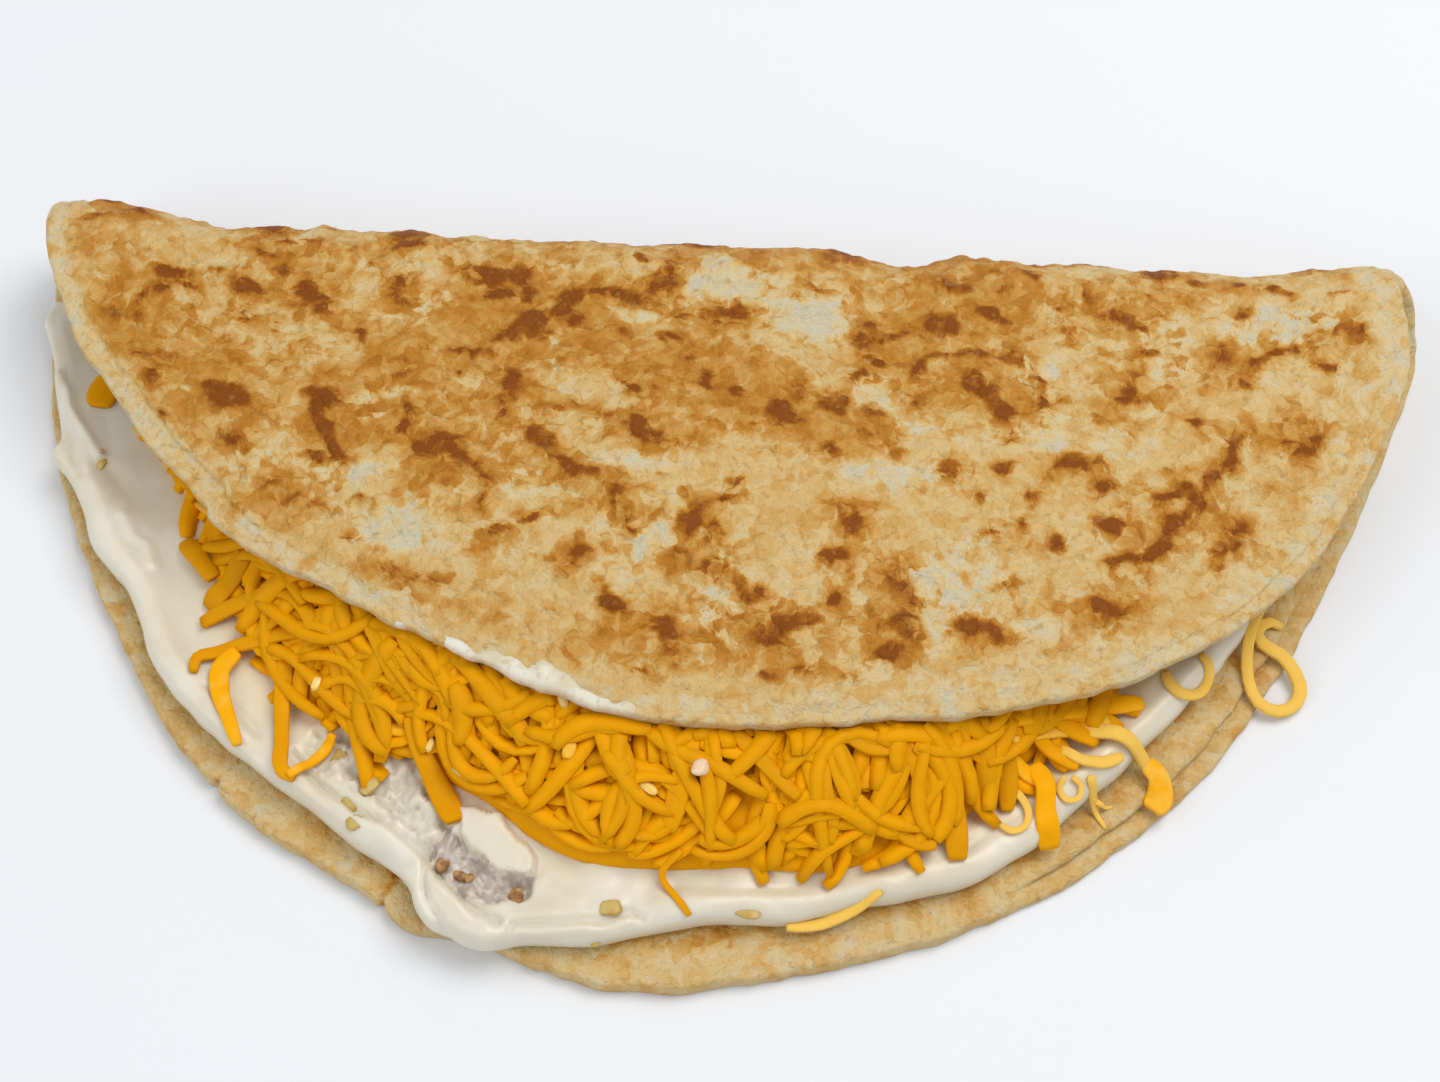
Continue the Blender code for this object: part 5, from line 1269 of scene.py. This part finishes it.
# Bits on the filling
# Short ends of cheese pressed into the cream, brown crumbs of toasted crust by the torn patch, and a
# pale drop on the heap. Each lies half sunk in what carries it.
BITS = (  # piece, x, y, length, width, turn in degrees
    ("yellow", -48.6, -30.2, 3.2, 2.2, 60), ("yellow", -43.5, -34.7, 3.0, 1.9, 50),
    ("yellow", -45.9, -37.0, 2.6, 2.2, -40), ("yellow", -44.7, -40.6, 2.6, 2.0, 20),
    ("yellow", -8.6, -50.3, 3.2, 2.2, 10), ("yellow", -10.2, -54.2, 2.0, 1.4, 80),
    ("yellow", 9.7, -49.4, 4.2, 1.9, -15), ("yellow", -90.9, 15.0, 2.0, 1.2, 70),
    ("crumb", -32.1, -45.2, 2.2, 1.9, 60), ("crumb", -29.6, -46.8, 2.0, 1.3, -20),
    ("crumb", -28.2, -47.1, 1.5, 1.2, 30), ("crumb", -21.6, -49.2, 2.2, 2.0, 80),
    ("crumb", -90.9, 16.6, 0.7, 0.6, 0), ("drop", 2.5, -33.7, 2.6, 2.2, 70),
    ("pale", -35.3, -29.8, 2.0, 1.0, 70), ("pale", -30.5, -33.5, 3.0, 1.3, -30),
    ("pale", -4.5, -36.0, 3.2, 1.4, -35), ("pale", -17.0, -24.6, 2.4, 1.2, -60),
    ("pale", -52.5, -21.5, 2.2, 1.2, 80), ("tan", -8.0, -25.2, 4.6, 2.6, -5),
)
CRUMB_SKIN = (0.6, 0.1, (0.0012, 0.0006, 0.0003))  # roughness, subsurface and its radius
CHEESE_SKIN = (0.4, 0.4, (0.0020, 0.0014, 0.0004))
CRUMB_GRAIN, CHEESE_GRAIN = (900.0, 0.35, 0.65), (500.0, 0.3, 0.7)  # scale, and where it steps
BIT_FINISHES = (  # kind, material, slot, skin, grain, dark and light colour
    ("crumb", "toasted_crumb", "bread", CRUMB_SKIN, CRUMB_GRAIN, (0.26, 0.11, 0.03), (0.52, 0.30, 0.10)),
    ("yellow", "bit_yellow", "cheddar", CHEESE_SKIN, CHEESE_GRAIN, (0.50, 0.33, 0.06), (0.60, 0.44, 0.14)),
    ("pale", "bit_pale", "cheddar", CHEESE_SKIN, CHEESE_GRAIN, (0.88, 0.52, 0.10), (0.95, 0.70, 0.28)),
    ("drop", "bit_drop", "cream", CHEESE_SKIN, CHEESE_GRAIN, (0.80, 0.50, 0.28), (0.86, 0.66, 0.48)),
    ("tan", "bit_tan", "cheddar", CHEESE_SKIN, CHEESE_GRAIN, (0.74, 0.40, 0.10), (0.80, 0.52, 0.22)),
)
BIT_LUMPS = ((0.16, 1.0, 81),)
ROUND, BLOCKY = 0.9, 0.7  # powers that square a ball off
ROUND_HEIGHT, BLOCKY_HEIGHT = 0.42, 0.45  # share of its width; in millimetres
IN_CREAM, ON_TOP = -0.15, 0.3  # where its middle lies over the ground
bit_parts = {kind: ([], []) for kind in ("yellow", "crumb", "drop", "pale", "tan")}
bpy.ops.mesh.primitive_ico_sphere_add(subdivisions=3, radius=1.0)
ball = bpy.context.object
ball_points = read_vectors(ball.data.vertices, "co")
ball_faces = [tuple(face.vertices) for face in ball.data.polygons]
bpy.data.objects.remove(ball)
for kind, x, y, length, width, turn in BITS:
    points, faces = bit_parts[kind]
    is_round = kind in ("crumb", "drop")
    body = np.sign(ball_points) * np.abs(ball_points) ** (ROUND if is_round else BLOCKY)
    along, across = ball_points[:, 0] * 2 + x, ball_points[:, 1] * 2 + ball_points[:, 2] * 3 + y
    body = body * (1.0 + unevenness(along, across, BIT_LUMPS))[:, None]
    body = body * (length / 2, width / 2, width * ROUND_HEIGHT if is_round else BLOCKY_HEIGHT)
    cosine, sine = math.cos(math.radians(turn)), math.sin(math.radians(turn))
    spun_x, spun_y = body[:, 0] * cosine - body[:, 1] * sine, body[:, 0] * sine + body[:, 1] * cosine
    i, j = int((x - MAP_X[0]) / CELL), int((y - MAP_Y[0]) / CELL)
    height = heap_map[j, i] + (IN_CREAM if kind == "yellow" else ON_TOP)
    start = sum(len(done) for done in points)
    points.append(np.column_stack([spun_x, spun_y, body[:, 2]]) + (x, y, height))
    faces.extend(tuple(start + corner for corner in face) for face in ball_faces)
for kind, name, slot, skin, (scale, low, high), dark, light in BIT_FINISHES:
    finish, tree, shader = new_material(name, *skin)
    grains = step_at(tree, grain(tree, own_place(tree), scale), low, high)
    paint(tree, shader, blend(tree, grains, (*dark, 1), (*light, 1)))
    bits = new_piece("bits_" + kind, *bit_parts[kind])
    bits.data.shade_smooth()
    bits.data.materials.append(finish)
    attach(bits, "root")


# Floor, light and camera
# A pale sheet under the bread, a big soft lamp over its back right with a weaker one over its front
# left, and the photograph's camera: 60 degrees above the floor and 4 to the right of straight on.
bpy.ops.object.select_all(action="DESELECT")
bpy.ops.mesh.primitive_plane_add(size=6.0, location=(0, 0, 0))
floor = bpy.context.object
floor.name = "floor"
paper, tree, shader = new_material("pale_floor", 0.8, 0.0, (0.001, 0.001, 0.001))
shader.inputs["Base Color"].default_value = (0.80, 0.82, 0.85, 1)
floor.data.materials.append(paper)
floor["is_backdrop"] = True

LAMPS = (  # name, place and size in metres, watts, tint
    ("key", (0.36, 0.20, 0.9), 0.6, 5.7, (1.0, 0.98, 0.95)),
    ("fill", (-0.7, -0.5, 0.75), 0.9, 3.6, (0.95, 0.97, 1.0)),
)
SKY, SKY_STRENGTH = (0.95, 0.97, 1.0, 1), 0.52
for name, place, size, power, tint in LAMPS:
    bpy.ops.object.light_add(type="AREA", location=place)
    lamp = bpy.context.object
    lamp.name = name
    lamp.data.size = size
    lamp.data.energy = power
    lamp.data.color = tint
    lamp.rotation_euler = Vector(place).to_track_quat("Z", "Y").to_euler()
world = bpy.data.worlds.new("studio")
bpy.context.scene.world = world
world.use_nodes = True
background = world.node_tree.nodes["Background"]
background.inputs["Color"].default_value = SKY
background.inputs["Strength"].default_value = SKY_STRENGTH

AZIMUTH, ELEVATION, DISTANCE = math.radians(4.0), math.radians(60.0), 376.0
LOOK_AT = Vector((2.25, 8.15, 8.0))
LENS, SENSOR_WIDTH, NEAREST = 64.0, 36.0, 0.01
level = math.cos(ELEVATION)
back = Vector((math.sin(AZIMUTH) * level, -math.cos(AZIMUTH) * level, math.sin(ELEVATION)))
bpy.ops.object.camera_add(location=(LOOK_AT + back * DISTANCE) * MM)
camera = bpy.context.object
camera.rotation_euler = (math.radians(90.0) - ELEVATION, 0.0, AZIMUTH)
camera.data.lens = LENS
camera.data.sensor_width = SENSOR_WIDTH
camera.data.clip_start = NEAREST
bpy.context.scene.camera = camera
bpy.context.scene.view_settings.view_transform = "Standard"

low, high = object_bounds()
